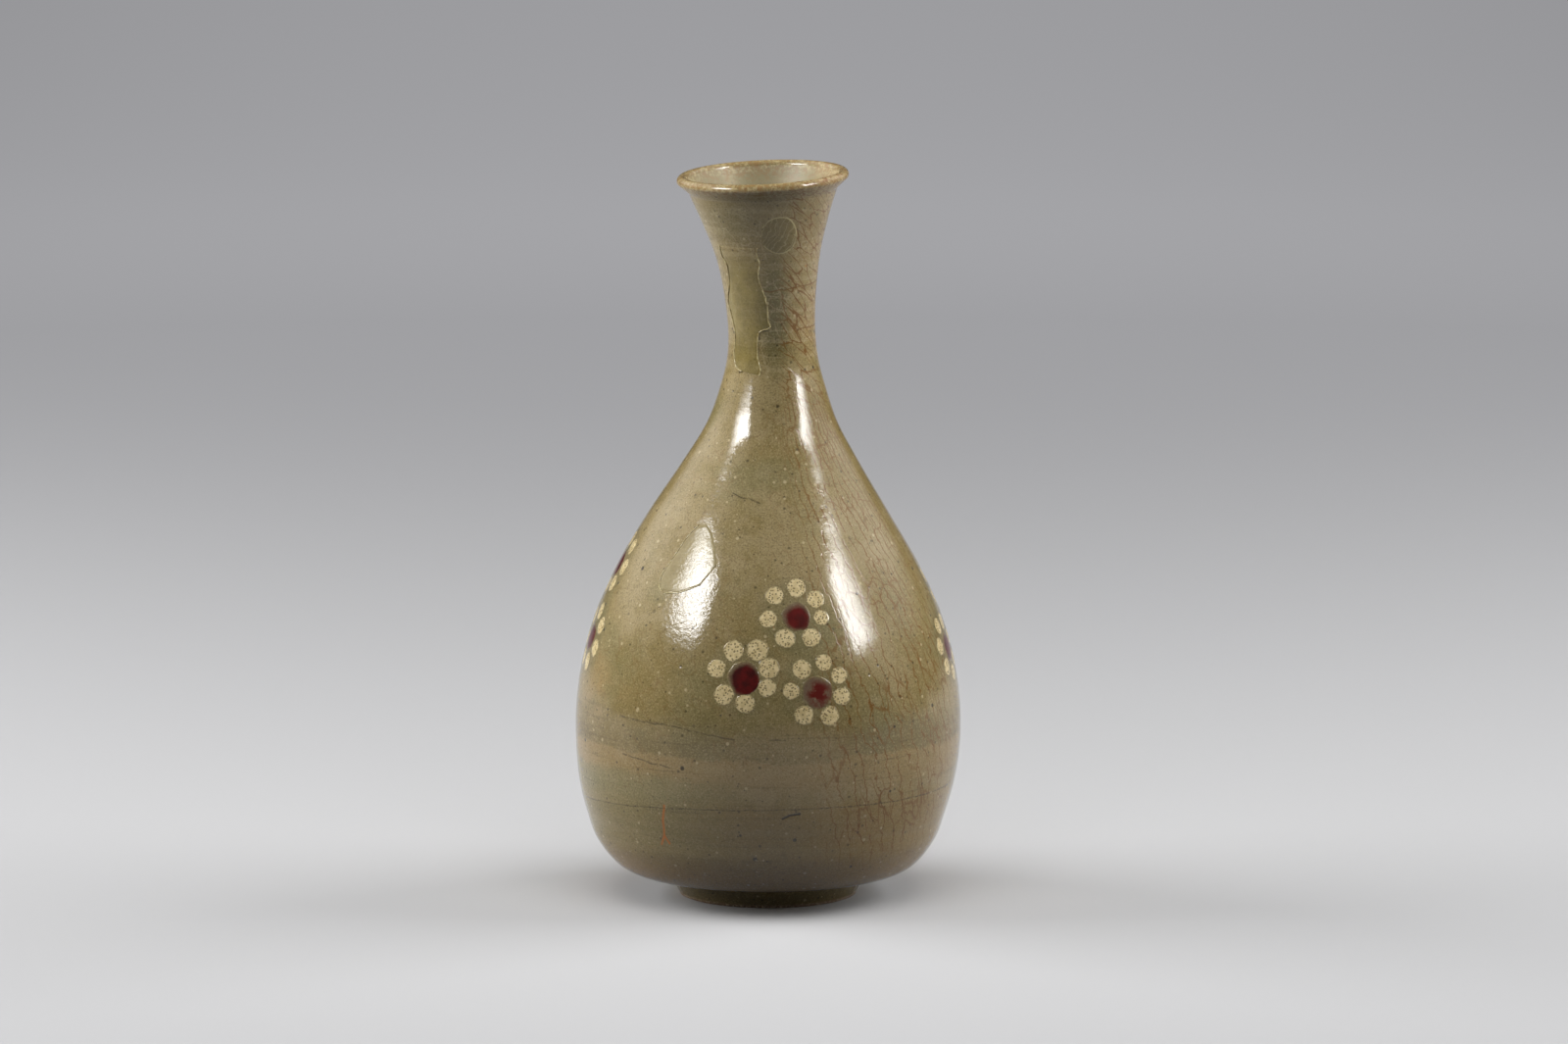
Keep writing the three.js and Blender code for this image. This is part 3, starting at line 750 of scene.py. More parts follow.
class GlazeLayers(Recipe):
    """The fired glaze, built up layer by layer: colour, roughness and relief over the whole bottle."""

    def __init__(self, tree, form, look):
        super().__init__(tree)
        self.form = form
        self.look = look
        self.drift = self.clouds(46, 3.0, 0.55)
        self.mottle = self.clouds(10, 4.0, 0.62)
        self.lay_tone()
        self.lay_bands()
        self.lay_neck_tones()
        self.lay_throwing_streaks()
        self.lay_flower_halos()
        self.lay_grain()
        self.lay_crackle()
        self.lay_specks()
        self.lay_marks()

    def tint(self, share, colour):
        """Mixes one of the glaze's colours in."""
        self.colour = self.blend(share, self.colour, getattr(self.look, colour))

    def within(self, value, rising, falling):
        """1 between two heights and 0 beyond them, with soft ends."""
        return self.fade(value, *rising) * self.fade(value, *falling)

    def lay_tone(self):
        """Olive where the glaze lies thick, tan where it is thin, and ochre blushes from the kiln."""
        thin = self.fade(self.drift + (self.mottle - 0.5) * 0.6, 0.38, 0.64)
        self.colour = self.blend(thin, self.look.olive, self.look.tan)
        warm = self.fade(self.mottle, 0.36, 0.62)
        spots = [self.near(self.form, *spot) for spot in BLUSHES]
        self.tint(functools.reduce(Signal.most, spots) * warm * 0.35, "blush")
        far = self.vector("ADD", self.spot, (90, 0, 40))
        self.tint(self.fade(self.clouds(28, 2.0, 0.5, far), 0.5, 0.7) * 0.4, "green")
        self.tint(self.near(self.form, *GREEN_BELLY_SPOT) * 0.4, "green")
        self.roughness = 0.05 + self.mottle * 0.06
        peel = self.near(self.form, *ORANGE_PEEL)
        fine = self.clouds(0.9, 3.0, 0.6)
        lumps = self.clouds(2.4, 3.0, 0.6)
        self.relief = fine * (0.3 + peel * 0.4) + lumps * (0.6 + peel * 2.8) + self.mottle * 1.2

    def lay_bands(self):
        """Where glaze coats overlap low on the belly: a dark edge, a pale band and a browner foot, which
        darkens towards the floor, partly pooled glaze and partly painted shade.
        """
        level = self.height + (self.drift - 0.5) * 9.0 + (self.mottle - 0.5) * 4.0
        for colour, rising, falling, strength in BANDS:
            self.tint(self.within(level, rising, falling) * strength, colour)
        self.tint(self.fade(level, *LOWER_BELLY) * 0.6, "lower_olive")
        left = self.fade(self.turn, 0.1, -0.6)
        self.tint(self.within(level, *GREEN_BAND) * left * 0.55, "green")
        # The last foot tone is partly painted shade, darker towards the floor
        for colour, falling, strength in FOOT_TONES:
            self.tint(self.fade(self.height, *falling) * strength, colour)

    def lay_neck_tones(self):
        """Green where the glaze pooled beside the neck fill, a warm flush on the right, a pale net of
        cracks and level brush lines."""
        self.tint(self.fade(self.height, *OLIVE_NECK) * 0.6, "neck_olive")
        self.tint(self.near(self.form, *NECK_POOL) * 0.6, "deep_green")
        self.tint(self.near(self.form, *GREEN_COLLAR_SPOT) * 0.4, "green")
        high = self.fade(self.height, *FLUSHED_NECK) * self.fade(self.turn, 0.35, 0.9)
        self.tint(high * self.fade(self.mottle, 0.34, 0.6) * 0.4, "flush")
        up = self.fade(self.height, *LINED_NECK)
        net = self.crackle_lines(4.5, 0.9, 0.012, 0.34) * self.fade(self.mottle, 0.4, 0.55) * up
        self.tint(net * 0.3, "fleck")
        rings = self.level_lines(2.0, 3.0, 0.05)
        self.tint(self.fade(rings, 0.52, 0.66) * up * 0.15, "pooled")
        self.tint(self.fade(rings, 0.48, 0.36) * up * 0.2, "fleck")

    def level_lines(self, size, detail, stretch):
        """Noise drawn out round the bottle into level lines."""
        return self.clouds(size, detail, 0.6, self.vector("MULTIPLY", self.spot, (stretch, stretch, 1.0)))

    def lay_throwing_streaks(self):
        """Fine level lines left by the throwing and trimming, strongest low on the belly."""
        fine = self.level_lines(1.2, 3.0, 0.025)
        wide = self.level_lines(6.0, 2.0, 0.06)
        weight = 0.2 + self.within(self.height, *STREAKED) * 0.8
        self.tint(self.fade(fine, 0.56, 0.7) * weight * 0.3, "pooled")
        self.tint(self.fade(wide, 0.5, 0.66) * weight * 0.25, "tan")
        self.relief = self.relief + fine * weight * 0.5

    def lay_flower_halos(self):
        """The glaze is greyer and greener where the slip of the flowers has seeped into it."""
        distances = [
            self.vector("DISTANCE", self.spot, self.form.place(azimuth, height) / MM, outlet="Value")
            for cluster, seat, number, azimuth, height in flower_middles()
        ]
        self.tint(self.fade(functools.reduce(Signal.least, distances), *HALO_REACH) * 0.4, "halo")

    def lay_grain(self):
        """Fine mottling of the clay seen through the glaze."""
        grain = self.clouds(0.7, 2.0, 0.6)
        self.tint(self.fade(self.clouds(3.5, 3.0, 0.6), 0.5, 0.75) * 0.18, "grain_dark")
        self.tint(self.fade(grain, 0.54, 0.64) * 0.4, "grain_dark")
        self.tint(self.fade(grain, 0.44, 0.36) * 0.3, "grain_light")

    def crackle_lines(self, size, stretch, twist, width):
        """A net of cracks, its meshes drawn out along the height and twisted round the bottle."""
        turned = self.node(
            "ShaderNodeVectorRotate", {"rotation_type": "Z_AXIS"},
            {"Vector": self.spot, "Angle": self.height * twist},
        )
        drawn = self.vector("MULTIPLY", turned, (1.0, 1.0, stretch))
        wander = self.noise_colour(drawn, 3, 2.0)
        bent = self.vector("ADD", drawn, self.vector("MULTIPLY", wander, (2.2, 2.2, 2.2)))
        return self.fade(self.cells(size, "DISTANCE_TO_EDGE", bent) * size, width, width * 0.3)

    def strands(self, count, slant, stray, width):
        """Cracks that run down the bottle side by side, so many to a turn, slanting as they fall."""
        wander = self.clouds(11, 4.0, 0.6) - 0.5
        place = self.turn * (count / math.tau) + self.height * slant + wander * stray
        gap = place.math("PINGPONG", 0.5) * self.radius * (math.tau / count)
        return self.fade(gap, width, width * 0.3)

    def lay_crackle(self):
        """Brown crackle on the right of the neck, shoulder and belly, and a faint one elsewhere."""
        patchy = self.fade(self.clouds(20, 2.0), 0.36, 0.58)
        broken = self.fade(self.clouds(7, 3.0, 0.6), 0.34, 0.48)
        right = self.fade(self.turn, 0.12, 0.45) * (1.0 - self.fade(self.turn, 0.9, 1.9) * 0.9)
        belly = self.within(self.height, *CRACKED_BELLY) * right
        neck = self.fade(self.height, *CRACKED_NECK) * right
        slanted = self.crackle_lines(4.8, 0.45, 0.045, 0.26) * neck
        upright = self.crackle_lines(6.5, 0.35, 0.004, 0.3) * belly * patchy
        falling = self.strands(84, 0.05, 1.9, 0.42) * belly * broken
        faint = self.crackle_lines(8.0, 0.7, 0.01, 0.26) * patchy
        for lines, strength in ((slanted, 0.85), (upright, 0.65), (falling, 0.8), (faint, 0.2)):
            self.tint(lines * strength, "crackle")
        self.relief = self.relief - (slanted + upright + falling) * 0.2

    def speck_mask(self, size, reach, rarity, shift):
        """Small round specks: one to a cell of this size, and only in a share of the cells."""
        place = self.vector("ADD", self.spot, shift)
        distance = self.cells(size, vector=place) * size
        chance, spread = self.parts(self.cells(size, vector=place, outlet="Color"))[:2]
        grown = reach * (0.4 + spread)
        return self.fade(distance / grown, 1.0, 0.5) * self.fade(chance, rarity, rarity + 0.02)

    def lay_specks(self):
        """Iron specks, pinholes and light flecks."""
        for colour, size, reach, rarity, shift, strength, depth in SPECKS:
            specks = self.speck_mask(size, reach, rarity, shift)
            self.tint(specks * strength, colour)
            if depth:
                self.relief = self.relief - specks * depth

    def carve(self, places, width, stray, depth, strength, colour):
        """A coloured line sunk into the glaze."""
        line = self.stroke(self.form, places, width, stray)
        self.tint(line * strength, colour)
        self.relief = self.relief - line * depth

    def lay_marks(self):
        """Scratches, cracks and firing flaws that are this bottle's own."""
        broken = self.fade(self.clouds(3.0, 3.0, 0.7), 0.38, 0.55)
        for places in SCRATCHES:
            self.tint(self.stroke(self.form, places, 0.45, 2.0) * broken * 0.6, "pit")
        for places in BROWN_CRACKS:
            self.carve(places, 0.45, 3.0, 0.8, 0.6, "crackle")
        for places in ORANGE_CRACKS:
            self.tint(self.stroke(self.form, places, 0.7, 1.2), "rust")
        self.carve(GOUGE, 0.7, 0.6, 3.0, 0.95, "pit")
        dots = self.fade(self.cells(1.5, vector=self.vector("ADD", self.spot, (1, 2, 3))), 0.5, 0.3)
        self.tint(self.stroke(self.form, TRIMMING_LINE, 0.45, 0.8) * (0.3 + dots * 0.4), "pit")


def glaze_group(form, look):
    """The glaze layers as one node group, made once and shared by every glazed finish."""
    name = "celadon_glaze_layers"
    if name in bpy.data.node_groups:
        return bpy.data.node_groups[name]
    group = bpy.data.node_groups.new(name, "ShaderNodeTree")
    for socket, kind in (("Colour", "Color"), ("Roughness", "Float"), ("Relief", "Float")):
        group.interface.new_socket(socket, in_out="OUTPUT", socket_type=f"NodeSocket{kind}")
    layers = GlazeLayers(group, form, look)
    layers.node("NodeGroupOutput", None, (layers.colour, layers.roughness, layers.relief))
    return group


def glaze_material(form, look):
    """The bottle's own glaze, with its orange rim, grey-green inside and bare foot."""
    finish = Finish("celadon_glaze")
    colour, roughness, relief = finish.glaze(form, look)
    inside = finish.attribute("inside")
    rim = finish.attribute("rim")
    bare = finish.fade(finish.attribute("bare"), 0.35, 0.8)
    patches = finish.clouds(1.8, 4.0, 0.65)
    colour = finish.blend(inside * 0.6, colour, look.inside)
    pool = finish.fade(finish.clouds(26, 2.0), 0.5, 0.64) * inside
    colour = finish.blend(pool * 0.5, colour, look.green)
    burnt = finish.fade(rim, 0.5, 0.95) * finish.fade(patches, 0.46, 0.6)
    colour = finish.blend(burnt * 0.5, colour, look.burnt_rim)
    worn = finish.fade(rim, 0.8, 1.0) * finish.fade(patches, 0.5, 0.4)
    colour = finish.blend(worn * 0.5, colour, look.worn_rim)
    grit = finish.fade(finish.clouds(0.9, 2.0), 0.5, 0.62)
    colour = finish.blend(bare, colour, finish.blend(grit, look.bare_clay, look.grit))
    roughness = roughness + bare * 0.5 + finish.fade(inside, 0.9, 1.0) * 0.45
    return finish.glossy(colour, roughness, relief + grit * bare * 3.0, look)


def petal_material(form, look):
    """Cream slip under the glaze, stippled with the dark clay, fading into the glaze at its edge."""
    finish = Finish("white_slip")
    colour, roughness, relief = finish.glaze(form, look)
    ragged = (finish.clouds(1.3, 3.0, 0.7) - 0.5) * 0.5
    slip = finish.fade(finish.attribute("edge") + ragged, 0.98, 0.78)
    patchy = finish.clouds(2.4, 3.0, 0.6)
    body = finish.blend(finish.fade(patchy, 0.35, 0.65), look.slip, look.slip_shaded)
    colour = finish.blend(slip * 0.95, colour, body)
    stipple = finish.fade(finish.cells(1.05) + ragged * 0.5, 0.44, 0.3)
    colour = finish.blend(stipple * slip * 0.75, colour, look.slip_speck)
    return finish.glossy(colour, roughness, relief + finish.clouds(0.9, 2.0) * slip * 0.4, look)


def red_material(name, form, look, worn):
    """Copper-red pigment under the glaze: near black where thick, purple and grey where worn."""
    finish = Finish(name)
    colour, roughness, relief = finish.glaze(form, look)
    edge = finish.attribute("edge") + (finish.clouds(6.0, 3.0, 0.6) - 0.5) * 0.35
    haze = finish.fade(edge, 1.0, 0.75)
    colour = finish.blend(haze * between(0.5, 0.7, worn), colour, look.red_haze)
    settled = edge + finish.attribute("lean") * 0.2
    core = finish.fade(settled, between(0.98, 0.95, worn), between(0.66, 0.35, worn))
    gaps = finish.fade(finish.clouds(4.0, 3.0, 0.6), between(0.0, 0.4, worn), between(0.2, 0.6, worn))
    deep = finish.fade(finish.clouds(4.0, 2.0), 0.35, 0.65)
    pigment = finish.blend(worn * 0.4, finish.blend(deep, look.red, look.deep_red), look.thin_red)
    colour = finish.blend(core * gaps * 0.97, colour, pigment)
    return finish.glossy(colour, roughness, relief, look)


def fill_material(name, form, look, tone, shaded, top=math.inf, round_patch=False):
    """Toned restoration fill with faint brush marks. It can fade into the glaze near its top, or have
    the pale rim and the slanting scratches of the round patch."""
    finish = Finish(name)
    glaze, roughness, relief = finish.glaze(form, look)
    drift = finish.clouds(9.0, 3.0, 0.6)
    brush = finish.clouds(1.4, 3.0, 0.6, finish.vector("MULTIPLY", finish.spot, (1.0, 1.0, 0.15)))
    body = finish.blend(finish.fade(drift, 0.35, 0.65), tone, shaded)
    body = finish.blend(finish.fade(brush, 0.5, 0.75) * 0.35, body, look.pooled)
    cover = 0.6
    if top < math.inf:
        cover = finish.fade(finish.height, top, top - 12.0) * cover
    colour = finish.blend(cover, glaze, body)
    if round_patch:
        edge = finish.attribute("edge")
        ring = finish.fade(edge, 0.84, 0.9) * finish.fade(edge, 1.0, 0.95)
        shown = finish.fade(finish.clouds(7.0, 2.0), 0.42, 0.55)
        colour = finish.blend(ring * shown * 0.7, colour, look.ridge)
        slanted = finish.vector("MULTIPLY", finish.spot, (1.0, 1.0, 0.55))
        scratch = finish.vector("DOT_PRODUCT", slanted, (0.8, 0.0, -0.8), outlet="Value")
        scratch = scratch + finish.clouds(7.0, 3.0, 0.6) * 7.0
        lines = finish.fade(scratch.math("PINGPONG", 1.0), 0.22, 0.1)
        colour = finish.blend(lines * 0.35, colour, look.ridge)
    return finish.glossy(colour, roughness + 0.06, relief * 0.5 + brush * 0.5, look)


def ridge_material(look):
    """The cream line of filler along a repair's edge."""
    finish = Finish("filler_ridge")
    tone = finish.fade(finish.clouds(2.2, 3.0, 0.6), 0.35, 0.65)
    body = finish.blend(tone, look.ridge, look.ridge_dark)
    return finish.glossy(body, 0.1 + tone * 0.1, finish.clouds(0.8, 2.0), look)


def floor_material(studio):
    """A pale paper disc. Its colour darkens away from the bottle as painted shade, and it glows faintly far
    off, a painted glow that stands for the backdrop and dims at its sides.
    """
    finish = Finish("studio_paper")
    # Painted shade: the paper's colour darkens with distance from the bottle
    away = (finish.radius / (studio.shade_reach / MM)).least(1.0)
    tone = finish.blend(away, studio.paper, studio.paper_far_shade)
    # Painted glow: the paper's own emission far off stands in for a lit backdrop, and is dimmer towards its
    # sides
    rise = finish.fade(finish.radius, studio.glow_start / MM, studio.glow_reach / MM)
    side = finish.x / (studio.side_reach / MM)
    rise = rise * (1.0 - (side * side).least(1.0) * 0.3)
    glow = finish.blend(rise, (0, 0, 0), studio.painted_backdrop_glow)
    return finish.finish(tone, 0.95, Specular_IOR_Level=0.1, Emission_Color=glow, Emission_Strength=1.0)


def screen_material(name, brightness):
    """A glowing screen that fades towards its edges."""
    finish = Finish(name)
    glow = finish.blend(finish.attribute("glow"), (0, 0, 0), (1, 1, 1))
    return finish.finish(
        (0, 0, 0), 1.0, Specular_IOR_Level=0.0, Emission_Color=glow, Emission_Strength=brightness,
    )


def length(name, description, default):
    """A length that a user may change."""
    return bpy.props.FloatProperty(
        name=name, description=description, default=default, unit="LENGTH", precision=4,
    )


def angle(name, description, default):
    """An angle that a user may change, its default given in degrees."""
    return bpy.props.FloatProperty(
        name=name, description=description, default=math.radians(default), subtype="ANGLE",
    )


def count(name, description, default):
    """A whole number that a user may change."""
    return bpy.props.IntProperty(name=name, description=description, default=default, min=1)


def colour(name, description, *default):
    """A colour that a user may change, its default read off a screen."""
    return bpy.props.FloatVectorProperty(
        name=name, description=description, default=shade(*default), subtype="COLOR", min=0.0, max=1.0,
    )


class BottleShape(bpy.types.PropertyGroup):
    """Sizes of the turned bottle."""

    foot_radius: length("Foot radius", "Radius of the foot ring where it stands", 37 * MM)
    foot_flare: length("Foot flare", "How much wider the foot ring is at its top", 4.5 * MM)
    foot_height: length("Foot height", "Height of the foot ring", 9.2 * MM)
    foot_ring_width: length("Foot ring width", "Width of the standing ring", 7 * MM)
    foot_hollow: length("Foot hollow", "How deep the underside is cut out", 5 * MM)
    foot_edge: length("Foot edge", "Rounding of the standing ring's edges", 0.9 * MM)
    floor_thickness: length("Floor thickness", "Clay under the inside floor", 9.2 * MM)
    waist_radius: length("Waist radius", "Radius of the narrowest part of the neck", 18.2 * MM)
    waist_height: length("Waist height", "Height of the narrowest part of the neck", 236 * MM)
    collar_flare: length("Collar flare", "How much wider the neck is where it joins the shoulder", 4.1 * MM)
    mouth_radius: length("Mouth radius", "Outside radius of the lip", (NECK_HIGH.x - NECK_LOW.x) / 2)
    mouth_height: length("Mouth height", "Height of the lip in the middle", 302 * MM)
    lip_thickness: length("Lip thickness", "Thickness of the rolled lip", 4.4 * MM)
    lip_overhang: length("Lip overhang", "How far the lip stands out from the neck", 4.7 * MM)
    lip_drop: length("Lip drop", "How far the lip rolls down", 7 * MM)
    body_wall: length("Body wall", "Wall thickness of the belly", 5.5 * MM)
    neck_wall: length("Neck wall", "Wall thickness of the neck", 4 * MM)
    bowl_drift: length("Bowl drift", "How far the bowl stands off the axis", -0.8 * MM)
    bowl_drift_height: length("Bowl drift height", "Where the bowl is furthest off the axis", 30 * MM)
    bowl_drift_span: length("Bowl drift span", "How far the bowl's drift reaches", 38 * MM)
    neck_drift: length("Neck drift", "How far the neck leans", 2 * MM)
    neck_drift_height: length("Neck drift height", "Where the neck is furthest off the axis", 214 * MM)
    neck_drift_span: length("Neck drift span", "How far the neck's drift reaches", 62 * MM)
    mouth_drift: length("Mouth drift", "How far the mouth stands off the axis", -2.2 * MM)
    settle_start: length("Settle start", "Height from which the mouth settled", 256 * MM)
    slant_sideways: angle("Slant sideways", "How much the mouth tips sideways", 2.5)
    slant_forward: angle("Slant forward", "How much the mouth tips towards the front", 2.3)
    span_steps: count("Span steps", "Points to each span of the profile", 11)
    inside_stride: count("Inside stride", "How many points of the outside to one of the inside", 4)
    lip_steps: count("Lip steps", "Points round the lip", 20)
    turn_steps: count("Turn steps", "Steps round the bottle", 220)
    dot_steps: count("Dot steps", "Steps round a petal", 28)


class GlazeLook(bpy.types.PropertyGroup):
    """Colours of the glaze, the inlay and the repairs."""

    olive: colour("Olive", "Glaze where it lies thick", 140, 122, 75)
    tan: colour("Tan", "Glaze where it is thin", 158, 140, 98)
    neck_olive: colour("Neck olive", "Glaze on the neck", 162, 141, 88)
    green: colour("Green", "Greener clouds in the glaze", 126, 121, 83)
    deep_green: colour("Deep green", "Thick green glaze on the neck", 92, 91, 56)
    flush: colour("Flush", "Warm flush on the neck", 174, 140, 88)
    lower_olive: colour("Lower olive", "Browner glaze low on the belly", 148, 116, 54)
    band_brown: colour("Brown band", "Thick glaze above the widest place", 96, 76, 34)
    pale_band: colour("Pale band", "Thin glaze below the widest place", 160, 132, 86)
    foot_brown: colour("Foot brown", "Thick brown glaze above the foot", 158, 116, 38)
    pooled: colour("Pooled", "Glaze that ran down and pooled", 80, 66, 34)
    blush: colour("Blush", "Ochre blushes from the kiln", 172, 134, 86)
    halo: colour("Halo", "Glaze round the flowers", 116, 110, 78)
    grain_dark: colour("Dark grain", "Fine dark grain of the clay", 84, 72, 44)
    grain_light: colour("Light grain", "Fine light grain of the clay", 190, 174, 132)
    crackle: colour("Crackle", "Stained cracks in the glaze", 116, 74, 22)
    pit: colour("Pit", "Pinholes", 40, 32, 20)
    fleck: colour("Fleck", "Light flecks", 208, 190, 148)
    rust: colour("Rust", "Iron spots and orange cracks", 186, 110, 40)
    inside: colour("Inside", "Glaze inside the mouth", 160, 148, 112)
    burnt_rim: colour("Burnt rim", "Orange-brown glaze on the lip", 150, 106, 62)
    worn_rim: colour("Worn rim", "Pale worn places on the lip", 204, 182, 136)
    bare_clay: colour("Bare clay", "Unglazed clay under the foot", 128, 100, 74)
    grit: colour("Grit", "Kiln sand on the foot", 186, 168, 138)
    slip: colour("Slip", "Cream slip of the petals", 234, 214, 164)
    slip_shaded: colour("Shaded slip", "Darker clouds in the slip", 212, 190, 138)
    slip_speck: colour("Slip speck", "Dark stipple in the slip", 100, 82, 44)
    red: colour("Red", "Copper-red pigment", 92, 4, 6)
    thin_red: colour("Thin red", "Pigment where it is worn thin", 128, 30, 14)
    deep_red: colour("Deep red", "Copper red where it is thick", 60, 1, 3)
    red_haze: colour("Red haze", "Purple-grey haze round worn red", 104, 78, 70)
    sherd: colour("Sherd fill", "Toned fill of the lost sherd", 146, 130, 66)
    sherd_shaded: colour("Shaded sherd fill", "Darker brushing on the fill", 122, 108, 50)
    patch: colour("Neck patch", "Oval patch on the neck", 132, 116, 66)
    patch_shaded: colour("Shaded neck patch", "Darker brushing on the patch", 112, 99, 55)
    shoulder: colour("Shoulder patch", "Patch on the shoulder", 166, 152, 110)
    shoulder_shaded: colour("Shaded shoulder patch", "Darker brushing on the patch", 146, 132, 92)
    ridge: colour("Ridge", "Cream line of filler", 214, 200, 148)
    ridge_dark: colour("Dark ridge", "Soiled parts of the filler", 150, 132, 86)
    relief: length("Relief", "Depth of the glaze's fine relief", 0.07 * MM)


class StudioLook(bpy.types.PropertyGroup):
    """The paper, the light and the camera."""

    paper: colour("Paper", "Paper under the bottle", 196, 196, 197)
    # Painted shade: the paper's colour far off, where it is darkest
    paper_far_shade: colour("Far paper", "Paper far behind", 129, 129, 131)
    # Painted glow: emission of the far paper, standing in for a lit backdrop
    painted_backdrop_glow: colour("Backdrop glow", "Light of the backdrop far behind", 152, 152, 155)
    room: colour("Room", "Light of the dim room", 128, 128, 130)
    # Painted shade: how far off the paper's painted shade is deepest
    shade_reach: length("Grey reach", "Where the paper is darkest", 1.9)
    glow_start: length("Glow start", "Where the backdrop starts to glow", 0.2)
    # Painted shade: the painted glow dims towards the sides of the paper
    side_reach: length("Side reach", "Where the backdrop is darkest at its sides", 1.3)
    glow_reach: length("Glow reach", "Where the backdrop glows fully", 2.6)
    floor_radius: length("Floor radius", "Radius of the paper", 14.0)
    camera_height: length("Camera height", "Height of the lens", 0.7)
    camera_distance: length("Camera distance", "How far the camera stands in front", 3.6)
    camera_side: length("Camera side", "How far the camera stands to the right", 6.6 * MM)
    aim_height: length("Aim height", "Height on the axis that the camera looks at", 156 * MM)
    lens: bpy.props.FloatProperty(
        name="Lens", description="Focal length of the lens", default=201.4, unit="CAMERA",
    )
    room_light: bpy.props.FloatProperty(
        name="Room light", description="Strength of the dim room", default=0.2, min=0.0,
    )


# Lamps that light the bottle and the paper: azimuth and elevation in degrees, distance, width and
# height in metres, watts
LAMPS = [
    ("left_lamp", -100.0, 19.0, 1.8, 1.5, 1.0, 41.0),
    ("right_lamp", 100.0, 24.0, 1.8, 1.5, 1.4, 35.0),
    ("ceiling_lamp", 0.0, 62.0, 1.9, 1.8, 1.8, 27.0),
]
# Bright screens that only the glaze mirrors: azimuth and elevation in degrees, distance, width and
# height in metres, brightness, and the share over which each fades at its left, right, lower and
# upper edge, as the bottle sees it
SCREENS = [
    ("left_strip", -66.0, 32.6, 1.5, 0.8, 0.62, 25.0, (0.55, 0.02, 0.5, 0.03)),
    ("left_sheet", -118.0, 38.0, 1.5, 2.4, 1.9, 1.3, (0.4, 0.5, 0.3, 0.3)),
    ("right_strip", 71.0, 30.0, 1.5, 0.64, 0.66, 22.0, (0.03, 0.85, 0.2, 0.04)),
    ("right_sheet", 116.0, 38.0, 1.5, 2.4, 1.9, 1.1, (0.5, 0.4, 0.3, 0.3)),
]
SCREEN_GRID = 40
PAPER_CORNERS = 96
CLIP_END = 60.0


def settings():
    """The form and the look that the operators of the pieces share."""
    scene = bpy.context.scene
    return TurnedForm(scene.bottle_shape), scene.glaze_look


class BOTTLE_OT_throw(bpy.types.Operator):
    """Throws, trims and glazes the bottle: bowl, shoulder, neck and lip"""

    bl_idname = "bottle.throw"
    bl_label = "Throw the bottle"

    def execute(self, context):
        form, look = settings()
        new_piece(
            "glazed_bottle", throw_bottle(form), "celadon_glaze", glaze_material(form, look),
            "lower_body", "upper_body", "neck",
        )
        return {"FINISHED"}


class BOTTLE_OT_inlay_petals(bpy.types.Operator):
    """Inlays the cream petals of every flower"""

    bl_idname = "bottle.inlay_petals"
    bl_label = "Inlay the petals"

    def execute(self, context):
        form, look = settings()
        material = petal_material(form, look)
        for cluster, seat, number, azimuth, height in flower_middles():
            source = bmesh.new()
            for petal, (direction, distance, radius) in enumerate(petal_places(cluster, seat, number)):
                turn = math.radians(direction)
                across, up = distance * MM * math.cos(turn), distance * MM * math.sin(turn)
                place = form.along(azimuth, height, across, up)
                reach = [radius * PETAL_SPREAD * MM] * 2
                lift = PETAL_LIFT + PETAL_STACK * petal
                add_lens(source, form, *place, reach, lift, PETAL_RAGGED, number + petal)
            if cluster == "front":
                nodes = [f"{cluster}_{seat}_petal_{petal + 1}" for petal in range(PETAL_COUNT)]
            else:
                nodes = [f"{cluster}_{seat}_petals"]
            new_piece(f"{cluster}_{seat}_petal_dots", source, "white_slip_inlay", material, *nodes)
        return {"FINISHED"}


class BOTTLE_OT_inlay_centres(bpy.types.Operator):
    """Inlays the copper-red centres of every flower"""

    bl_idname = "bottle.inlay_centres"
    bl_label = "Inlay the red centres"

    def execute(self, context):
        form, look = settings()
        materials = {}
        for cluster, seat, number, azimuth, height in flower_middles():
            radius, worn = STAMPED_CENTRES.get(f"{cluster}_{seat}", REGULAR_CENTRE)
            if worn not in materials:
                materials[worn] = red_material(f"copper_red_{round(worn * 100)}", form, look, worn)
            source = bmesh.new()
            reach = [radius * CENTRE_SPREAD * MM] * 2
            add_lens(source, form, azimuth, height, reach, CENTRE_LIFT, CENTRE_RAGGED, number)
            new_piece(
                f"{cluster}_{seat}_red_dot", source, "copper_red_inlay", materials[worn],
                f"{cluster}_{seat}_centre",
            )
        return {"FINISHED"}


class BOTTLE_OT_mend_neck(bpy.types.Operator):
    """Fills the lost sherd on the neck, with a line of filler along each edge, and the oval patch"""

    bl_idname = "bottle.mend_neck"
    bl_label = "Mend the neck"

    def execute(self, context):
        form, look = settings()
        source = slab_mesh(form, SHERD_LEFT_EDGE, SHERD_RIGHT_EDGE, SHERD_GRID, SHERD_SINK)
        top = SHERD_LEFT_EDGE[-1][1]
        material = fill_material("sherd_fill", form, look, look.sherd, look.sherd_shaded, top)
        new_piece("neck_sherd_infill", source, "restoration_fill", material, "neck_sherd_fill")
        ridge = ridge_material(look)
        for name, edge in (("left", SHERD_LEFT_EDGE), ("right", SHERD_RIGHT_EDGE)):
            source = ridge_mesh(form, edge, SHERD_RIDGE_RADIUS, SHERD_RIDGE_LIFT)
            new_piece(f"sherd_ridge_{name}", source, "restoration_fill", ridge)
        azimuth, height = NECK_PATCH_PLACE
        reach = [side * MM for side in NECK_PATCH_REACH]
        source = bmesh.new()
        add_lens(source, form, azimuth, height * MM, reach, NECK_PATCH_LIFT, PATCH_RAGGED, 5)
        material = fill_material("neck_patch", form, look, look.patch, look.patch_shaded, round_patch=True)
        new_piece("neck_patch_infill", source, "restoration_fill", material, "neck_patch_fill")
        return {"FINISHED"}


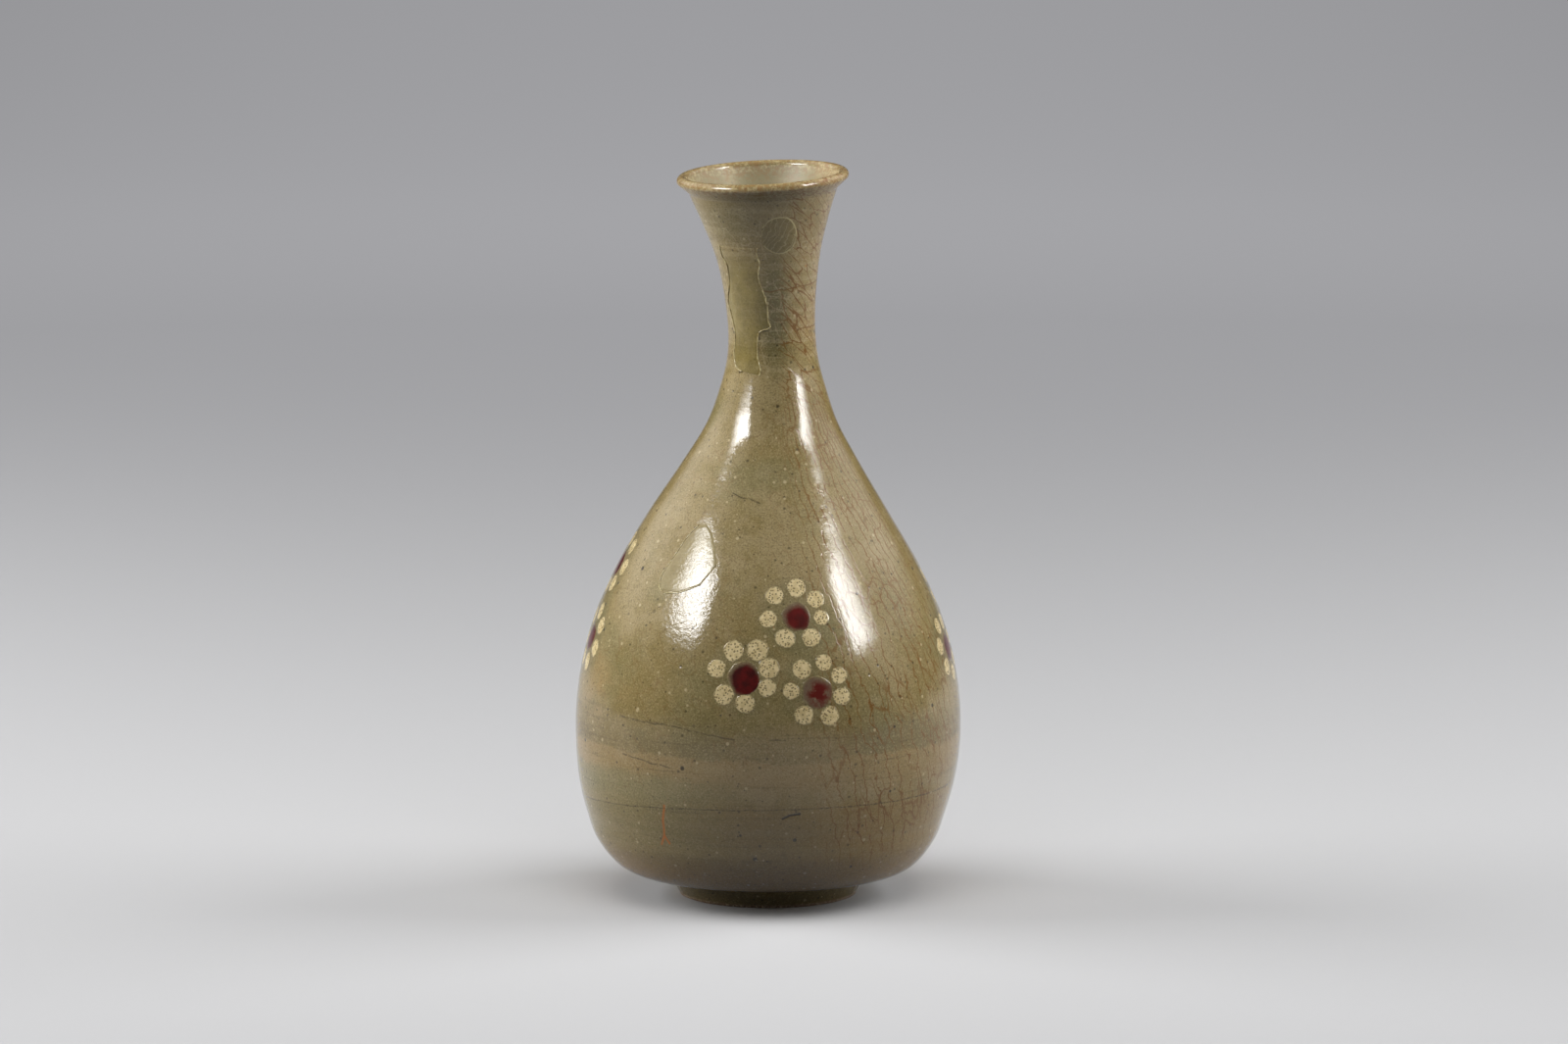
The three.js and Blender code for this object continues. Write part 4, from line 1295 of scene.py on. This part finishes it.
class BOTTLE_OT_mend_shoulder(bpy.types.Operator):
    """Fills the loss on the shoulder, with a line of filler round it"""

    bl_idname = "bottle.mend_shoulder"
    bl_label = "Mend the shoulder"

    def execute(self, context):
        form, look = settings()
        source = slab_mesh(
            form, SHOULDER_PATCH_LEFT, SHOULDER_PATCH_RIGHT, SHOULDER_PATCH_GRID, SHOULDER_PATCH_SINK,
        )
        material = fill_material("shoulder_patch", form, look, look.shoulder, look.shoulder_shaded)
        new_piece("shoulder_patch_infill", source, "restoration_fill", material, "shoulder_patch_fill")
        around = SHOULDER_PATCH_LEFT[::-1] + SHOULDER_PATCH_RIGHT[:2]
        source = ridge_mesh(form, around, SHOULDER_RIDGE_RADIUS, 0.0)
        new_piece("shoulder_ridge", source, "restoration_fill", ridge_material(look))
        return {"FINISHED"}


class BOTTLE_OT_set_stage(bpy.types.Operator):
    """Lays the paper, hangs the lamps and screens and sets up the camera"""

    bl_idname = "bottle.set_stage"
    bl_label = "Set the stage"

    def execute(self, context):
        studio = context.scene.studio_look
        self.lay_paper(studio)
        self.hang_lamps()
        self.hang_screens()
        self.light_room(context.scene, studio)
        self.set_camera(context.scene, studio)
        context.scene.view_settings.view_transform = "Standard"
        context.scene.view_settings.look = "None"
        return {"FINISHED"}

    def lay_paper(self, studio):
        source = bmesh.new()
        bmesh.ops.create_circle(source, cap_ends=True, segments=PAPER_CORNERS, radius=studio.floor_radius)
        paper = new_mesh("studio_paper", source, floor_material(studio))
        paper.visible_diffuse = False

    def stand(self, azimuth, elevation, distance):
        """The place and turn of something that faces the middle of the bottle from a distance."""
        turn, rise = math.radians(azimuth), math.radians(elevation)
        way = Vector((math.sin(turn) * math.cos(rise), -math.cos(turn) * math.cos(rise), math.sin(rise)))
        middle = Vector((0, 0, (CAD_LOW.z + CAD_HIGH.z) / 2))
        facing = (-way).to_track_quat("-Z", "Y").to_matrix().to_4x4()
        return Matrix.Translation(middle + way * distance) @ facing

    def hang_lamps(self):
        for name, azimuth, elevation, distance, width, tall, watts in LAMPS:
            light = bpy.data.lights.new(name, "AREA")
            light.shape = "RECTANGLE"
            light.size = width
            light.size_y = tall
            light.energy = watts
            lamp = new_object(name, light)
            lamp.matrix_world = self.stand(azimuth, elevation, distance)
            lamp.visible_camera = False
            lamp.visible_glossy = False

    def hang_screens(self):
        for name, azimuth, elevation, distance, width, tall, brightness, fades in SCREENS:
            source = bmesh.new()
            layer = source.verts.layers.float.new("glow")
            bmesh.ops.create_grid(source, x_segments=SCREEN_GRID, y_segments=SCREEN_GRID, size=0.5)
            left, right, low, high = fades
            for vert in source.verts:
                across, up = vert.co.x + 0.5, vert.co.y + 0.5
                sides = ease(across, 0, left) * ease(1 - across, 0, right)
                vert[layer] = sides * ease(up, 0, low) * ease(1 - up, 0, high)
            bmesh.ops.scale(source, vec=(width, tall, 1), verts=source.verts[:])
            place = self.stand(azimuth, elevation, distance)
            bmesh.ops.transform(source, matrix=place, verts=source.verts[:])
            screen = new_mesh(name, source, screen_material(name, brightness))
            screen.visible_camera = False
            screen.visible_diffuse = False
            screen.visible_shadow = False

    def light_room(self, scene, studio):
        world = bpy.data.worlds.new("studio_room")
        world.use_nodes = True
        background = world.node_tree.nodes["Background"]
        background.inputs["Color"].default_value = (*studio.room, 1.0)
        background.inputs["Strength"].default_value = studio.room_light
        scene.world = world

    def set_camera(self, scene, studio):
        lens = bpy.data.cameras.new("studio_camera")
        lens.lens = studio.lens
        lens.clip_end = CLIP_END
        camera = new_object("studio_camera", lens)
        camera.location = (studio.camera_side, -studio.camera_distance, studio.camera_height)
        down = math.atan2(studio.camera_height - studio.aim_height, studio.camera_distance)
        camera.rotation_euler = (math.pi / 2 - down, 0, 0)
        scene.camera = camera


OPERATORS = [
    BOTTLE_OT_throw, BOTTLE_OT_inlay_petals, BOTTLE_OT_inlay_centres, BOTTLE_OT_mend_neck,
    BOTTLE_OT_mend_shoulder, BOTTLE_OT_set_stage,
]
GROUPS = {"bottle_shape": BottleShape, "glaze_look": GlazeLook, "studio_look": StudioLook}


class BOTTLE_PT_panel(bpy.types.Panel):
    """Lists the bottle's operators in the sidebar"""

    bl_label = "Celadon Bottle"
    bl_idname = "BOTTLE_PT_panel"
    bl_space_type = "VIEW_3D"
    bl_region_type = "UI"
    bl_category = "Bottle"

    def draw(self, context):
        for operator in OPERATORS:
            self.layout.operator(operator.bl_idname)
        for name, group in GROUPS.items():
            box = self.layout.box()
            for value in group.__annotations__:
                box.prop(getattr(context.scene, name), value)


def register():
    """Registers the groups, the operators and the panel."""
    for name, group in GROUPS.items():
        bpy.utils.register_class(group)
        setattr(bpy.types.Scene, name, bpy.props.PointerProperty(type=group))
    for operator in [*OPERATORS, BOTTLE_PT_panel]:
        bpy.utils.register_class(operator)


def unregister():
    """Takes them away again."""
    for operator in [BOTTLE_PT_panel, *OPERATORS[::-1]]:
        bpy.utils.unregister_class(operator)
    for name, group in GROUPS.items():
        delattr(bpy.types.Scene, name)
        bpy.utils.unregister_class(group)


def main():
    """Builds every piece and the stage."""
    register()
    bpy.ops.bottle.throw()
    bpy.ops.bottle.inlay_petals()
    bpy.ops.bottle.inlay_centres()
    bpy.ops.bottle.mend_neck()
    bpy.ops.bottle.mend_shoulder()
    bpy.ops.bottle.set_stage()


if __name__ == "__main__":
    main()
